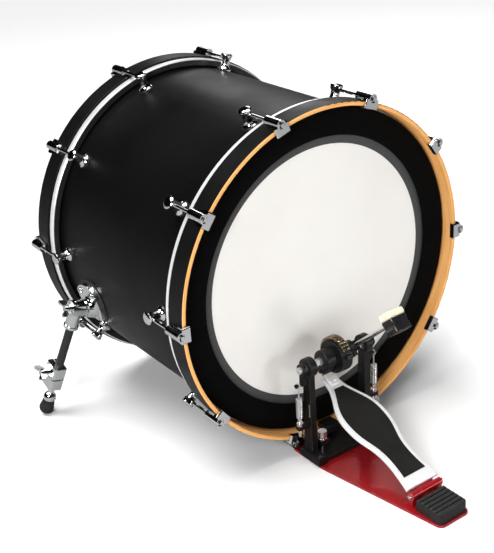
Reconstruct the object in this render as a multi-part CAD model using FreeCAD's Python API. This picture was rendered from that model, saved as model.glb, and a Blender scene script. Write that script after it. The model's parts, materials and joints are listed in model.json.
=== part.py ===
"""A 22 x 17 inch bass drum with folding spurs and a chain-drive foot pedal clamped to its hoop.

Millimetres. X is to the player's right, +Y runs along the drum away from the player and +Z is up.
The origin is on the floor, straight below the front edge of the batter hoop.
"""
import FreeCAD
import Part
import math
import os

Vector = FreeCAD.Vector
Rotation = FreeCAD.Rotation
Placement = FreeCAD.Placement

x_axis = Vector(1, 0, 0)
y_axis = Vector(0, 1, 0)
z_axis = Vector(0, 0, 1)

# ---- Driving dimensions ----
# Shell
shell_radius = 279.4            # 22 inch drum
shell_depth = 431.8             # 17 inches
shell_wall = 8.0
bearing_edge_set_in = 2.0       # apex of the bearing edge, in from the outer face
bearing_edge_land = 0.6
# Heads
film = 0.4                      # drum film thickness
film_clearance = 1.1            # between the film's collar and the shell's outer face
head_setback = 28.0             # playing surface behind the edge of its hoop
# Wood hoops
hoop_radius = shell_radius + 18.6
hoop_thickness = 7.0
hoop_width = 41.0
hoop_edge_round = 2.0
hoop_floor_gap = 18.0           # lowest point of the hoops above the floor
# Flesh hoops, the metal rings that hold the film
flesh_width = 13.0
flesh_inner = shell_radius + 3.2
flesh_outer = shell_radius + 15.6
flesh_slot_depth = 5.0
flesh_slot_room = 0.6           # each side of the film
# Muffling ring on the batter head
collar_inner = shell_radius - 54.9
collar_outer = shell_radius + 3.6
collar_thickness = 0.8
foam_inner = shell_radius - 40.4
foam_outer = shell_radius + 7.1
foam_height = 7.6
foam_outer_fall = 4.2           # the foam is this much lower at its outer shoulder
# Tension system
claw_count = 10
rod_circle = hoop_radius + 6.0
rod_radius = 3.0
rod_past_lug = 12.0
rod_clearance = 0.3
key_size = 6.4
key_length = 6.0
key_flange_radius = 6.0
key_flange_thickness = 1.5
pad_thickness = 1.1
claw_front_width = 28.0
claw_back_width = 12.0
claw_straight = 3.0             # length of the full-width front part
claw_length = 30.0              # along the drum, behind the hoop's edge
claw_lip = 4.5                  # thickness in front of the hoop
claw_wall = 3.6                 # thickness outside the hoop
claw_return = 4.0               # depth of the hook inside the hoop
claw_return_thickness = 2.4
claw_boss_radius = 8.2
claw_recess_radius = 6.6
claw_recess_depth = 4.0
# Lugs
lug_setback = hoop_width + 45.0   # lug axis behind the hoop's edge
lug_base_radius = 12.5
lug_waist_radius = 7.8
lug_top_radius = 11.0
lug_top_above_rod = 8.6
lug_gasket_thickness = 1.0
lug_gasket_margin = 1.0
swivel_nut_radius = 5.0
swivel_nut_height = 10.0
lug_screw_radius = 3.0
lug_screw_length = 20.0
screw_head_radius = 6.0
screw_head_height = 4.0
shell_hole_clearance = 0.2
# Air vent
vent_angle = 100.0
vent_bore = 4.5
vent_tube_radius = 6.0
vent_flange_radius = 9.5
vent_flange = 1.6
# Spurs
spur_angle = 107.5              # bracket centre, from the top of the drum
spur_setback = shell_depth - 79.8   # bracket centre behind the batter hoop's edge
spur_pivot_out = 33.53          # pivot outside the shell's surface at the bracket
spur_pivot_behind = 12.0        # and behind the bracket's centre
spur_pivot_drop = 4.98          # and below it
spur_foot_out = 62.0            # foot outside the pivot
spur_foot_behind = 60.0         # and behind it
spur_foot_radius = 14.0
bracket_width = 72.0            # along the drum
bracket_height = 84.0           # around the drum
bracket_plate = 8.0
bracket_gasket = 1.6
bracket_gasket_margin = 5.0
bracket_boss_radius = 16.0
bracket_boss_root = 25.0
bracket_screw_radius = 3.0
bracket_screw_head = 6.0
bracket_screw_rise = 3.6
swivel_radius = 15.0
swivel_half = 13.0
swivel_gap = 0.35
sleeve_radius = 12.5
sleeve_end = 42.0
leg_radius = 8.0
leg_top = 16.0
leg_end = 142.0
slide_gap = 0.1
clamp_start = 134.0
clamp_end = 182.0
clamp_half_width = 13.0
clamp_near = 12.0
clamp_far = 24.0
clamp_slit = 2.4
clamp_screw_offset = 16.0
clamp_screw_radius = 3.0
inner_rod_radius = 5.0
inner_rod_top = 60.0
ball_radius = 12.0
ball_end = 24.0                 # centre of the ball nut above the centre of the foot
foot_top = 16.0                 # top of the rubber foot above its centre
foot_top_radius = 11.0
wing_bolt_radius = 4.0
wing_hub_radius = 7.5
wing_hub_length = 12.0
wing_span = 34.0
wing_rise = 19.0
wing_thickness = 4.6
# Pedal: where it stands
pedal_x = -14.0                 # centre plane of the pedal; its beater is off to the right of it
plate_thickness = 4.0
plate_front = 22.0
plate_shoulder = -62.0
plate_back = -308.0
plate_half_front = 70.0
plate_half_back = 32.0
plate_corner = 11.0
# Pedal: axle and posts
axle_y = -26.0
axle_height = 184.0
axle_radius = 6.0
axle_half_length = 84.0
axle_hex_half = 50.0
axle_hex_flats = 13.0
running_gap = 0.06
post_inner = 54.0
post_outer = 70.0
post_foot_outer = 73.0
post_thickness = 12.0
post_depth_top = 16.0
post_depth_bottom = 22.0
housing_radius = 17.0
housing_round = 2.5
bearing_radius = 11.0
bearing_width = 8.0
post_foot_front = -8.0
post_foot_back = -60.0
post_foot_top = 20.0
# Pedal: yoke and hoop clamp
yoke_top = 14.0
yoke_front = -5.0
yoke_set_in = 3.0               # back of the yoke in front of the backs of the posts' feet
anvil_half = 25.0
anvil_depth = 20.0
anvil_rise = 4.0                # top of the anvil above the hoop's lowest point
ear_width = 12.0
ear_thickness = 3.5
ear_back = -17.0
ear_front = -5.5
jaw_pivot_x = -24.0
jaw_pivot_height = hoop_floor_gap + 11.0
jaw_pin_radius = 2.5
jaw_half = 15.0
jaw_depth = 14.0
jaw_thickness = 10.0
jaw_below_pivot = 4.0
jaw_above_pivot = 5.0
jaw_back = -9.0
jaw_hoop_gap = 0.6              # between the jaw's arm and the hoop's edge
jaw_tail_half = 7.0
hoop_screw_x = -41.0
hoop_screw_y = -31.0
hoop_screw_radius = 3.0
hoop_screw_head_radius = 8.0
hoop_screw_head = 16.0
# Pedal: heel and footboard
hinge_y = -241.0
hinge_height = 26.0
hinge_pin_radius = 3.0
knuckle_radius = 6.2
knuckle_half = 33.0
knuckle_middle_half = 12.0
hinge_gap = 0.35
leaf_thickness = 3.0
heel_front = -251.0
heel_back = -304.5
heel_half = 31.0
heel_top = 24.0
heel_rib_count = 5
heel_rib_depth = 2.2
board_angle = 22.0
board_start = 9.0               # from the hinge line to the edge of the footboard
board_end = 259.0
board_heel_half = 35.0
board_neck_half = 28.5
board_neck = 66.0
board_wide_half = 44.5
board_wide = 154.0
board_toe_half = 15.5
board_thickness = 6.0
board_lift = 2.0                # underside of the footboard above the hinge line
grip_start = 30.0
grip_end = 232.0
grip_margin = 7.5
grip_pocket = 1.5
grip_thickness = 2.4
# Pedal: chain and sprocket
sprocket_pitch_radius = 32.5
chain_height = 6.0              # across the chain's plates
chain_width = 15.0
chain_end_angle = 60.0          # past the top, on the player's side
sprocket_half = 5.6
cheek_radius = 26.0
cheek_half = 11.0
sprocket_hub_radius = 19.0
sprocket_hub_round = 4.0
sprocket_hub_left = -36.0
chain_gap = 0.4
chain_run_inset = 1.8           # keeps the straight run clear of the sprocket's teeth
toe_eye_ahead = 8.0             # chain eye in front of the footboard's toe
toe_eye_radius = 3.4
toe_arm = 3.0
# Pedal: beater
beater_hub_x = 22.0
beater_hub_half = 10.0
beater_hub_radius = 16.0
beater_rest_angle = 49.5        # from upright, towards the player
beater_reach = 158.0
beater_shaft_radius = 4.2
beater_shaft_start = 11.0
beater_width = 34.0
beater_length = 30.0
beater_depth = 37.0
felt_depth = 12.0
beater_round = 5.0
# Pedal: springs
spring_x = 85.0
rocker_inner = 73.0
rocker_outer = 79.0
rocker_hub_radius = 10.5
rocker_reach = 27.0
rocker_pin_radius = 2.4
spring_radius = 6.0
spring_top = axle_height - 51.0
spring_bottom = 88.0
spring_wire = 1.3
adjuster_radius = 2.6
adjuster_bottom = 56.0
adjuster_arm_height = 70.0
adjuster_arm_thickness = 8.0
adjuster_nut_radius = 5.5
adjuster_nut_height = 5.0

# ---- Derived values ----
axis_height = hoop_radius + hoop_floor_gap
shell_front = head_setback + film
total_depth = 2 * shell_front + shell_depth
mid_depth = total_depth / 2
hoop_inner = hoop_radius - hoop_thickness
shell_inner = shell_radius - shell_wall
claw_step = 360.0 / claw_count
gasket_top = shell_radius + lug_gasket_thickness
bracket_base = shell_radius + bracket_gasket
reach = 2 * hoop_radius         # longer than any cut has to be

# The spur's own frame: its origin is on the pivot axis, x points outward along that axis and
# z points up the leg. The leg can then swing to lie along the drum.
spur_turn = math.radians(spur_angle)
spur_pivot = Vector(
    -shell_radius * math.sin(spur_turn) - spur_pivot_out, spur_setback + spur_pivot_behind,
    axis_height + shell_radius * math.cos(spur_turn) - spur_pivot_drop)
spur_foot_centre = Vector(spur_pivot.x - spur_foot_out, spur_pivot.y + spur_foot_behind, spur_foot_radius)
leg_down = (spur_foot_centre - spur_pivot).normalize()
leg_length = (spur_foot_centre - spur_pivot).Length
spur_axis = leg_down.cross(Vector(0, -1, 0)).normalize()
leg_up = leg_down * -1
spur_place = Placement(spur_pivot, Rotation(spur_axis, Vector(), leg_up, "ZXY"))
spur_fold_angle = math.degrees(math.acos(leg_down.dot(Vector(0, -1, 0))))

board_place = Placement(Vector(0, hinge_y, hinge_height), Rotation(x_axis, board_angle))
beater_up = Vector(0, -math.sin(math.radians(beater_rest_angle)), math.cos(math.radians(beater_rest_angle)))
beater_place = Placement(Vector(beater_hub_x, axle_y, axle_height), Rotation(x_axis, beater_rest_angle))
chain_outer = sprocket_pitch_radius + chain_height / 2
chain_inner = sprocket_pitch_radius - chain_height / 2
chain_y = axle_y + sprocket_pitch_radius
toe_height = hinge_height + board_end * math.sin(math.radians(board_angle))


# ---- Helpers ----
def polygon_face(points):
    """Flat face with the given 3-D corners."""
    return Part.Face(Part.makePolygon(list(points) + [points[0]]))


def turned(profile):
    """Solid of revolution about Z from (radius, height) corners."""
    return polygon_face([Vector(r, 0, z) for r, z in profile]).revolve(Vector(), z_axis, 360)


def drum_ring(profile):
    """Solid of revolution about the drum's axis from (radius, distance along the drum) corners."""
    ring = turned(profile)
    ring.Placement = Placement(Vector(0, 0, axis_height), Rotation(x_axis, -90))
    return ring


def ring(inner, outer, start, end):
    return drum_ring([(inner, start), (outer, start), (outer, end), (inner, end)])


def drum_disc(radius, start, end):
    return cylinder(radius, end - start, Vector(0, start, axis_height), y_axis)


def cylinder(radius, length, start, direction):
    return Part.makeCylinder(radius, length, start, direction)


def x_cylinder(radius, low, high, y, z):
    return cylinder(radius, high - low, Vector(low, y, z), x_axis)


def box(low, high):
    """Box between two opposite corners, given as (x, y, z)."""
    size = [high[i] - low[i] for i in range(3)]
    return Part.makeBox(size[0], size[1], size[2], Vector(*low))


def prism(points, low, high):
    """Upright prism over (x, y) corners, from one height to another."""
    face = polygon_face([Vector(x, y, low) for x, y in points])
    return face.extrude(Vector(0, 0, high - low))


def hex_bar(flats, low, high, y, z):
    """Hexagonal bar along X."""
    corner = flats / math.sqrt(3)
    points = []
    for i in range(6):
        angle = math.radians(60 * i)
        points.append(Vector(low, y + corner * math.cos(angle), z + corner * math.sin(angle)))
    return polygon_face(points).extrude(Vector(high - low, 0, 0))


def fuse(*shapes):
    whole = shapes[0]
    for shape in shapes[1:]:
        whole = whole.fuse(shape)
    return whole.removeSplitter()


def rounded(shape, radius, chosen):
    """Fillet the edges that the test picks by their middle point."""
    edges = [edge for edge in shape.Edges if chosen(edge.CenterOfMass, edge)]
    return shape.makeFillet(radius, edges)


def chamfered(shape, size, chosen):
    """Chamfer the edges that the test picks by their middle point."""
    return shape.makeChamfer(size, [edge for edge in shape.Edges if chosen(edge.CenterOfMass, edge)])


def upright(edge):
    first, last = edge.Vertexes[0].Point, edge.Vertexes[-1].Point
    return len(edge.Vertexes) == 2 and (first - last).cross(z_axis).Length < 1e-6


def round_edge(middle, edge):
    """Picks the edges that run all the way round a cylinder."""
    return len(edge.Vertexes) == 1


def placed(shape, placement):
    copy = shape.copy()
    copy.Placement = placement.multiply(copy.Placement)
    return copy


def at_clock(shape, angle):
    """Take a piece modelled at the top of the drum round the drum's axis, towards +X."""
    centre = Vector(0, 0, axis_height)
    return placed(shape, Placement(Vector(), Rotation(y_axis, angle), centre))


def drum_mirror(shape):
    """The same piece at the other end of the drum."""
    return shape.mirror(Vector(0, mid_depth, 0), y_axis)


def side_mirror(shape):
    """The same piece on the other side of the drum."""
    return shape.mirror(Vector(), x_axis)


def claw_angles():
    """Clock angles of the claws, with two of them either side of the lowest point."""
    return [180 + claw_step * (i + 0.5) for i in range(claw_count)]


def around_both_ends(shape):
    """Copies of a piece at every claw, at both ends of the drum."""
    copies = [at_clock(shape, angle) for angle in claw_angles()]
    return copies + [drum_mirror(copy) for copy in copies]


def pedal(shape):
    return shape.translated(Vector(pedal_x, 0, 0))


def save(name, shapes):
    """Write one sub-part as a STEP file of separate solids."""
    solids = []
    for shape in shapes if isinstance(shapes, list) else [shapes]:
        solids.extend(shape.Solids)
    for solid in solids:
        if not solid.isValid() or solid.Volume <= 0:
            print("bad solid in", name)
    whole = solids[0] if len(solids) == 1 else Part.makeCompound(solids)
    whole.exportStep("parts/" + name + ".step")
    print(name, len(solids), round(sum(solid.Volume for solid in solids)))


# ---- Shell, heads and hoops ----
def shell():
    apex = shell_radius - bearing_edge_set_in
    inner_bevel = apex - bearing_edge_land - shell_inner
    outer_bevel = bearing_edge_set_in
    back = shell_front + shell_depth
    body = drum_ring([
        (shell_inner, shell_front + inner_bevel), (apex - bearing_edge_land, shell_front),
        (apex, shell_front),
        (shell_radius, shell_front + outer_bevel), (shell_radius, back - outer_bevel), (apex, back),
        (apex - bearing_edge_land, back), (shell_inner, back - inner_bevel)])
    lug_hole = cylinder(lug_screw_radius + shell_hole_clearance, 3 * shell_wall,
                        Vector(0, lug_setback, axis_height + shell_inner - shell_wall), z_axis)
    vent_hole = cylinder(vent_tube_radius, 3 * shell_wall,
                         Vector(0, mid_depth, axis_height + shell_inner - shell_wall), z_axis)
    holes = around_both_ends(lug_hole) + [at_clock(vent_hole, vent_angle)]
    for hole in bracket_screw_holes(bracket_screw_radius + shell_hole_clearance):
        holes += [hole, side_mirror(hole)]
    return body.cut(holes)


def head():
    """Film with its collar bent down over the bearing edge."""
    shoulder = shell_radius + film_clearance
    collar_end = hoop_width + flesh_slot_depth
    collar_radius = flesh_inner + 3.0
    front = head_setback
    return drum_ring([
        (0, front), (shoulder - 1.4, front), (shoulder - 0.1, front + 0.5), (shoulder + film, front + 1.8),
        (collar_radius + film, collar_end), (collar_radius, collar_end),
        (shoulder, front + 2.0), (shoulder - 0.6, front + film + 0.5), (shoulder - 1.6, front + film),
        (0, front + film)])


def flesh_hoop():
    collar_radius = flesh_inner + 3.0
    slot_inner = collar_radius - 1.7
    slot_outer = collar_radius + film + flesh_slot_room
    start = hoop_width
    end = hoop_width + flesh_width
    bottom = start + flesh_slot_depth
    body = drum_ring([
        (flesh_inner, start), (slot_inner, start), (slot_inner, bottom), (slot_outer, bottom),
        (slot_outer, start),
        (flesh_outer - 1.5, start), (flesh_outer, start + 1.5), (flesh_outer, end - 3.0),
        (flesh_outer - 3.0, end),
        (flesh_inner, end)])
    return body


def wood_hoop():
    body = ring(hoop_inner, hoop_radius, 0, hoop_width)
    return rounded(body, hoop_edge_round, lambda middle, edge: True)


def muffle_collar():
    return ring(collar_inner, collar_outer, head_setback - collar_thickness, head_setback)


def muffle_foam():
    """Crowned ring of foam that lies on the collar."""
    back = head_setback - collar_thickness
    crest = back - foam_height
    inner_foot = Vector(foam_inner, 0, back)
    inner_crest = Vector(foam_inner + 7.0, 0, crest)
    outer_crest = Vector(foam_outer - 12.0, 0, crest + foam_outer_fall)
    outer_foot = Vector(foam_outer, 0, back)
    edges = [
        Part.Arc(inner_foot, Vector(foam_inner + 1.2, 0, crest + 2.6), inner_crest).toShape(),
        Part.LineSegment(inner_crest, outer_crest).toShape(),
        Part.Arc(outer_crest, Vector(foam_outer - 4.0, 0, crest + foam_outer_fall + 1.2),
                 outer_foot).toShape(),
        Part.LineSegment(outer_foot, inner_foot).toShape()]
    body = Part.Face(Part.Wire(edges)).revolve(Vector(), z_axis, 360)
    body.Placement = Placement(Vector(0, 0, axis_height), Rotation(x_axis, -90))
    return body


# ---- Tension system, each piece modelled at the top of the batter hoop ----
def claw_outline(margin):
    """Plan of a claw: full width over the hoop's edge, then tapering back."""
    front = claw_front_width / 2 - margin
    back = claw_back_width / 2 - margin
    nose = -pad_thickness - claw_lip
    return [(-front, nose), (front, nose), (front, claw_straight), (back, claw_length - margin),
            (-back, claw_length - margin), (-front, claw_straight)]


def claw():
    inside = hoop_inner - pad_thickness
    outside = hoop_radius + pad_thickness
    nose = -pad_thickness - claw_lip
    low = axis_height + inside - claw_return_thickness
    body = prism(claw_outline(0), low, axis_height + outside + claw_wall)
    boss = cylinder(claw_boss_radius, claw_length - nose, Vector(0, nose, axis_height + rod_circle), y_axis)
    body = fuse(body, boss)
    corners = [edge for edge in body.Edges if upright(edge) and edge.CenterOfMass.y < claw_straight - 1]
    body = body.makeFillet(3.0, corners)
    hoop_room = ring(inside, outside, -pad_thickness, reach)
    behind_return = drum_disc(inside, claw_return, reach)
    recess = cylinder(claw_recess_radius, claw_recess_depth, Vector(0, nose, axis_height + rod_circle),
                      y_axis)
    rod_hole = cylinder(rod_radius + rod_clearance, claw_length - nose,
                        Vector(0, nose, axis_height + rod_circle),
                        y_axis)
    return body.cut([hoop_room, behind_return, recess, rod_hole])


def claw_pad():
    """Soft liner between the claw and the hoop."""
    inside = hoop_inner - pad_thickness
    outside = hoop_radius + pad_thickness
    sleeve = drum_ring([
        (inside, -pad_thickness), (outside, -pad_thickness), (outside, claw_length - 3.0),
        (hoop_radius, claw_length - 3.0), (hoop_radius, 0), (hoop_inner, 0), (hoop_inner, claw_return),
        (inside, claw_return)])
    margin = 0.6
    room = prism(claw_outline(margin), axis_height + inside - 1, axis_height + outside + 1)
    return sleeve.common(room).cut(wood_hoop())


def tension_rod():
    seat = -pad_thickness - claw_lip + claw_recess_depth
    height = axis_height + rod_circle
    shaft = cylinder(rod_radius, lug_setback + rod_past_lug - seat, Vector(0, seat, height), y_axis)
    flange = cylinder(key_flange_radius, key_flange_thickness,
                      Vector(0, seat - key_flange_thickness, height),
                      y_axis)
    half = key_size / 2
    key = box((-half, seat - key_flange_thickness - key_length, height - half),
              (half, seat - key_flange_thickness, height + half))
    return fuse(shaft, flange, key)


def lug():
    """Turret lug: a round base, a waist that takes the tension rod and a flared top."""
    top = rod_circle + lug_top_above_rod
    base = shell_radius
    points = {
        "foot": Vector(lug_base_radius, 0, base),
        "rim": Vector(lug_base_radius, 0, base + 4.0),
        "neck": Vector(lug_waist_radius + 1.2, 0, base + 8.0),
        "waist": Vector(lug_waist_radius, 0, base + 14.0),
        "upper": Vector(lug_waist_radius, 0, rod_circle - 6.0),
        "flare": Vector(lug_waist_radius + 1.0, 0, rod_circle - 1.0),
        "lip": Vector(lug_top_radius, 0, rod_circle + 4.0),
        "edge": Vector(lug_top_radius, 0, top - 2.6),
        "dome": Vector(lug_top_radius - 2.0, 0, top - 0.8),
        "crown": Vector(lug_top_radius - 5.0, 0, top)}
    edges = [
        Part.LineSegment(Vector(0, 0, base), points["foot"]).toShape(),
        Part.LineSegment(points["foot"], points["rim"]).toShape(),
        Part.Arc(points["rim"], points["neck"], points["waist"]).toShape(),
        Part.LineSegment(points["waist"], points["upper"]).toShape(),
        Part.Arc(points["upper"], points["flare"], points["lip"]).toShape(),
        Part.LineSegment(points["lip"], points["edge"]).toShape(),
        Part.Arc(points["edge"], points["dome"], points["crown"]).toShape(),
        Part.LineSegment(points["crown"], Vector(0, 0, top)).toShape(),
        Part.LineSegment(Vector(0, 0, top), Vector(0, 0, base)).toShape()]
    body = Part.Face(Part.Wire(edges)).revolve(Vector(), z_axis, 360)
    body = body.translated(Vector(0, lug_setback, axis_height))
    rod_hole = cylinder(rod_radius, 2 * lug_base_radius,
                        Vector(0, lug_setback - lug_base_radius, axis_height + rod_circle),
                        y_axis)
    nut_room = cylinder(swivel_nut_radius, swivel_nut_height,
                        Vector(0, lug_setback, axis_height + rod_circle - swivel_nut_height / 2), z_axis)
    screw_room = lug_screw().cut(drum_disc(shell_radius, 0, reach))
    return body.cut([drum_disc(gasket_top, 0, reach), rod_hole, nut_room, screw_room])


def lug_gasket():
    disc = cylinder(lug_base_radius + lug_gasket_margin, 2 * shell_wall,
                    Vector(0, lug_setback, axis_height + shell_inner), z_axis)
    screw_room = cylinder(lug_screw_radius, 3 * shell_wall,
                          Vector(0, lug_setback, axis_height + shell_inner), z_axis)
    return disc.common(ring(shell_radius, gasket_top, 0, reach)).cut(screw_room)


def lug_screw():
    """Screw that holds a lug from inside the shell."""
    seat = axis_height + shell_inner - 0.1
    centre = Vector(0, lug_setback, seat)
    shank = cylinder(lug_screw_radius, lug_screw_length, centre, z_axis)
    cap = cylinder(screw_head_radius, screw_head_height, centre, Vector(0, 0, -1))
    return fuse(shank, cap)


def swivel_nut():
    """Threaded barrel inside a lug that the tension rod screws into."""
    centre = Vector(0, lug_setback, axis_height + rod_circle - swivel_nut_height / 2)
    barrel = cylinder(swivel_nut_radius, swivel_nut_height, centre, z_axis)
    thread = cylinder(rod_radius, 4 * swivel_nut_radius,
                      Vector(0, lug_setback - 2 * swivel_nut_radius, axis_height + rod_circle), y_axis)
    return barrel.cut(thread)


def air_vent():
    """Eyelet through the shell, flanged outside and lipped inside."""
    lip = vent_tube_radius + 1.5
    body = turned([
        (vent_bore, shell_inner - 1.0), (lip, shell_inner - 1.0), (lip, shell_inner - 0.15),
        (vent_tube_radius, shell_inner - 0.15), (vent_tube_radius, shell_radius),
        (vent_flange_radius, shell_radius), (vent_flange_radius, shell_radius + vent_flange - 0.6),
        (vent_flange_radius - 1.2, shell_radius + vent_flange), (vent_bore, shell_radius + vent_flange)])
    return at_clock(body.translated(Vector(0, mid_depth, axis_height)), vent_angle)


# ---- Spurs, each piece modelled on the left of the drum ----
def bracket_outline(margin):
    """Shield shape, wide above and rounded to a point below, centred on the bracket."""
    half = bracket_width / 2 + margin
    top = -bracket_height / 2 - margin
    tip = bracket_height / 2 + margin
    corner_up = Vector(top, -half * 0.62, 0)
    corner_back = Vector(top * 0.55, half, 0)
    corner_front = Vector(top * 0.2, -half, 0)
    shoulder = Vector(tip * 0.35, half * 0.86, 0)
    point_back = Vector(tip * 0.97, half * 0.3, 0)
    point_front = Vector(tip * 0.97, -half * 0.14, 0)
    edges = [
        Part.Arc(corner_up, Vector(top * 0.94, half * 0.42, 0), corner_back).toShape(),
        Part.Arc(corner_back, Vector(top * 0.1, half * 1.02, 0), shoulder).toShape(),
        Part.Arc(shoulder, Vector(tip * 0.76, half * 0.66, 0), point_back).toShape(),
        Part.Arc(point_back, Vector(tip, half * 0.08, 0), point_front).toShape(),
        Part.Arc(point_front, Vector(tip * 0.5, -half * 0.62, 0), corner_front).toShape(),
        Part.Arc(corner_front, Vector(top * 0.66, -half * 0.92, 0), corner_up).toShape()]
    return Part.Face(Part.Wire(edges))


def on_bracket(shape):
    """Take a piece modelled over the bracket's centre at the top of the drum down to its place."""
    return at_clock(shape.translated(Vector(0, spur_setback, axis_height)), -spur_angle)


def bracket_slab(margin, low, high):
    """Slab of the shield's outline between two radii from the drum's axis."""
    face = bracket_outline(margin).translated(Vector(0, 0, low - 20))
    flat = face.extrude(Vector(0, 0, high - low + 40)).mirror(Vector(), x_axis)
    return on_bracket(flat).common(ring(low, high, 0, reach))


def bracket_screw_spots():
    """Places of the bracket's screws, as (around, along) from its centre."""
    return [(bracket_height * 0.33, -bracket_width * 0.28), (bracket_height * 0.30, bracket_width * 0.30),
            (-bracket_height * 0.37, bracket_width * 0.04)]


def bracket_screw_holes(radius):
    holes = []
    for around, along in bracket_screw_spots():
        hole = cylinder(radius, 6 * shell_wall, Vector(around, along, shell_inner - 2 * shell_wall), z_axis)
        holes.append(on_bracket(hole))
    return holes


def bracket_screws():
    """Dome-headed screws through the bracket and the shell, with their nuts inside."""
    screws = []
    top = bracket_base + bracket_plate
    for around, along in bracket_screw_spots():
        inner = math.sqrt(shell_inner ** 2 - around ** 2)
        seat = math.sqrt(top ** 2 - around ** 2)
        shank = cylinder(bracket_screw_radius, seat - inner + 4.0, Vector(around, along, inner - 4.0),
                         z_axis)
        dome = turned([(0, seat), (bracket_screw_head, seat), (bracket_screw_head, seat + 1.2),
                       (bracket_screw_head * 0.7, seat + bracket_screw_rise * 0.85),
                       (0, seat + bracket_screw_rise)])
        dome = dome.translated(Vector(around, along, 0))
        nut = cylinder(bracket_screw_head, 4.0, Vector(around, along, inner - 4.3), z_axis)
        nut = nut.common(drum_disc(shell_inner, 0, reach).translated(Vector(0, -spur_setback, -axis_height)))
        screws.append(on_bracket(fuse(shank, dome, nut)))
    return screws


def bracket():
    """Shield-shaped casting with a slanted boss that carries the spur's swivel."""
    plate = bracket_slab(0, bracket_base, bracket_base + bracket_plate)
    face = -swivel_half - swivel_gap
    root = -60.0
    boss = Part.makeCone(bracket_boss_root, bracket_boss_radius, face - root, Vector(root, 0, 0), x_axis)
    rim = cylinder(bracket_boss_radius + 1.5, 4.0, Vector(face - 4.0, 0, 0), x_axis)
    boss = placed(fuse(boss, rim), spur_place).cut(drum_disc(bracket_base, 0, reach))
    bolt_hole = placed(cylinder(wing_bolt_radius + slide_gap, 30.0, Vector(face - 24.0, 0, 0), x_axis),
                       spur_place)
    heads = []
    top = bracket_base + bracket_plate
    for around, along in bracket_screw_spots():
        seat = math.sqrt(top ** 2 - around ** 2)
        heads.append(on_bracket(cylinder(bracket_screw_head + 0.6, 60.0, Vector(around, along, seat),
                                         z_axis)))
    boss = boss.cut(heads)
    body = fuse(plate, boss)
    return body.cut([bolt_hole] + bracket_screw_holes(bracket_screw_radius) + heads)


def bracket_seal():
    slab = bracket_slab(bracket_gasket_margin, shell_radius, bracket_base)
    return slab.cut(bracket_screw_holes(bracket_screw_radius))


def spur_swivel():
    """Turning head of the spur with the socket that the leg tube is pressed into."""
    hub = cylinder(swivel_radius, 2 * swivel_half, Vector(-swivel_half, 0, 0), x_axis)
    sleeve = cylinder(sleeve_radius, sleeve_end, Vector(0, 0, -sleeve_end), z_axis)
    collar = cylinder(sleeve_radius + 1.5, 5.0, Vector(0, 0, -sleeve_end), z_axis)
    body = fuse(hub, sleeve, collar)
    socket = cylinder(leg_radius, sleeve_end - leg_top, Vector(0, 0, -sleeve_end), z_axis)
    bolt_hole = cylinder(wing_bolt_radius + slide_gap, 4 * swivel_half, Vector(-2 * swivel_half, 0, 0),
                         x_axis)
    return body.cut([socket, bolt_hole])


def wing_head():
    """Hub with two wings, standing on z = 0 and turning about Z."""
    hub = turned([(0, 0), (wing_hub_radius, 0), (wing_hub_radius, wing_hub_length * 0.55),
                  (wing_hub_radius - 2.2, wing_hub_length), (0, wing_hub_length)])
    half = wing_thickness / 2
    inner = wing_hub_radius * 0.4
    outer = wing_span / 2
    corners = [(inner, 1.0), (outer * 0.62, 2.0), (outer, wing_rise * 0.55), (outer, wing_rise),
               (outer * 0.66, wing_rise), (inner, wing_hub_length * 0.9)]
    wings = []
    for side in (-1, 1):
        face = polygon_face([Vector(side * x, -half, z) for x, z in corners])
        wing = face.extrude(Vector(0, wing_thickness, 0))
        wings.append(wing.makeFillet(1.6,
                                     [edge for edge in wing.Edges if abs(edge.CenterOfMass.x) > outer * 0.9]))
    return fuse(hub, *wings)


def wing_bolt():
    """Bolt that locks the spur's swing."""
    shaft_start = -swivel_half - swivel_gap - 20.0
    shaft = cylinder(wing_bolt_radius, swivel_half + swivel_gap - shaft_start, Vector(shaft_start, 0, 0),
                     x_axis)
    turn = Rotation(y_axis, 90).multiply(Rotation(z_axis, 62))
    knob = placed(wing_head(), Placement(Vector(swivel_half + swivel_gap, 0, 0), turn))
    return fuse(shaft, knob)


def leg_tube():
    tube = cylinder(leg_radius, leg_end - leg_top, Vector(0, 0, -leg_end), z_axis)
    bore = cylinder(inner_rod_radius + slide_gap, leg_end - leg_top - 6.0, Vector(0, 0, -leg_end), z_axis)
    return tube.cut(bore)


def memory_clamp():
    """Split block at the end of the leg tube that grips the inner rod."""
    body = box((-clamp_half_width, -clamp_far, -clamp_end), (clamp_half_width, clamp_near, -clamp_start))
    body = rounded(body, 4.0, lambda middle, edge: upright(edge))
    tube_room = cylinder(leg_radius, leg_end - clamp_start, Vector(0, 0, -leg_end), z_axis)
    rod_room = cylinder(inner_rod_radius + slide_gap, clamp_end - leg_end, Vector(0, 0, -clamp_end), z_axis)
    slit = box((-clamp_slit / 2, -clamp_far, -clamp_end),
               (clamp_slit / 2, -inner_rod_radius + 1.0, -clamp_start))
    middle = -(clamp_start + clamp_end) / 2
    groove = box((-clamp_half_width, clamp_near - 5.0, middle - 1.6),
                 (clamp_half_width, clamp_near, middle + 1.6))
    screw_room = cylinder(clamp_screw_radius + slide_gap, 2 * clamp_half_width,
                          Vector(-clamp_half_width, -clamp_screw_offset, middle), x_axis)
    return body.cut([tube_room, rod_room, slit, groove, screw_room])


def clamp_screw():
    middle = -(clamp_start + clamp_end) / 2
    length = 2 * clamp_half_width + 2.0
    shaft = cylinder(clamp_screw_radius, length,
                     Vector(-clamp_half_width - 2.0, -clamp_screw_offset, middle),
                     x_axis)
    turn = Rotation(y_axis, 90).multiply(Rotation(z_axis, 75))
    seat = Vector(clamp_half_width + swivel_gap, -clamp_screw_offset, middle)
    knob = placed(wing_head(), Placement(seat, turn))
    return fuse(shaft, cylinder(clamp_screw_radius, 2.0, seat - x_axis, x_axis), knob)


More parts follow.
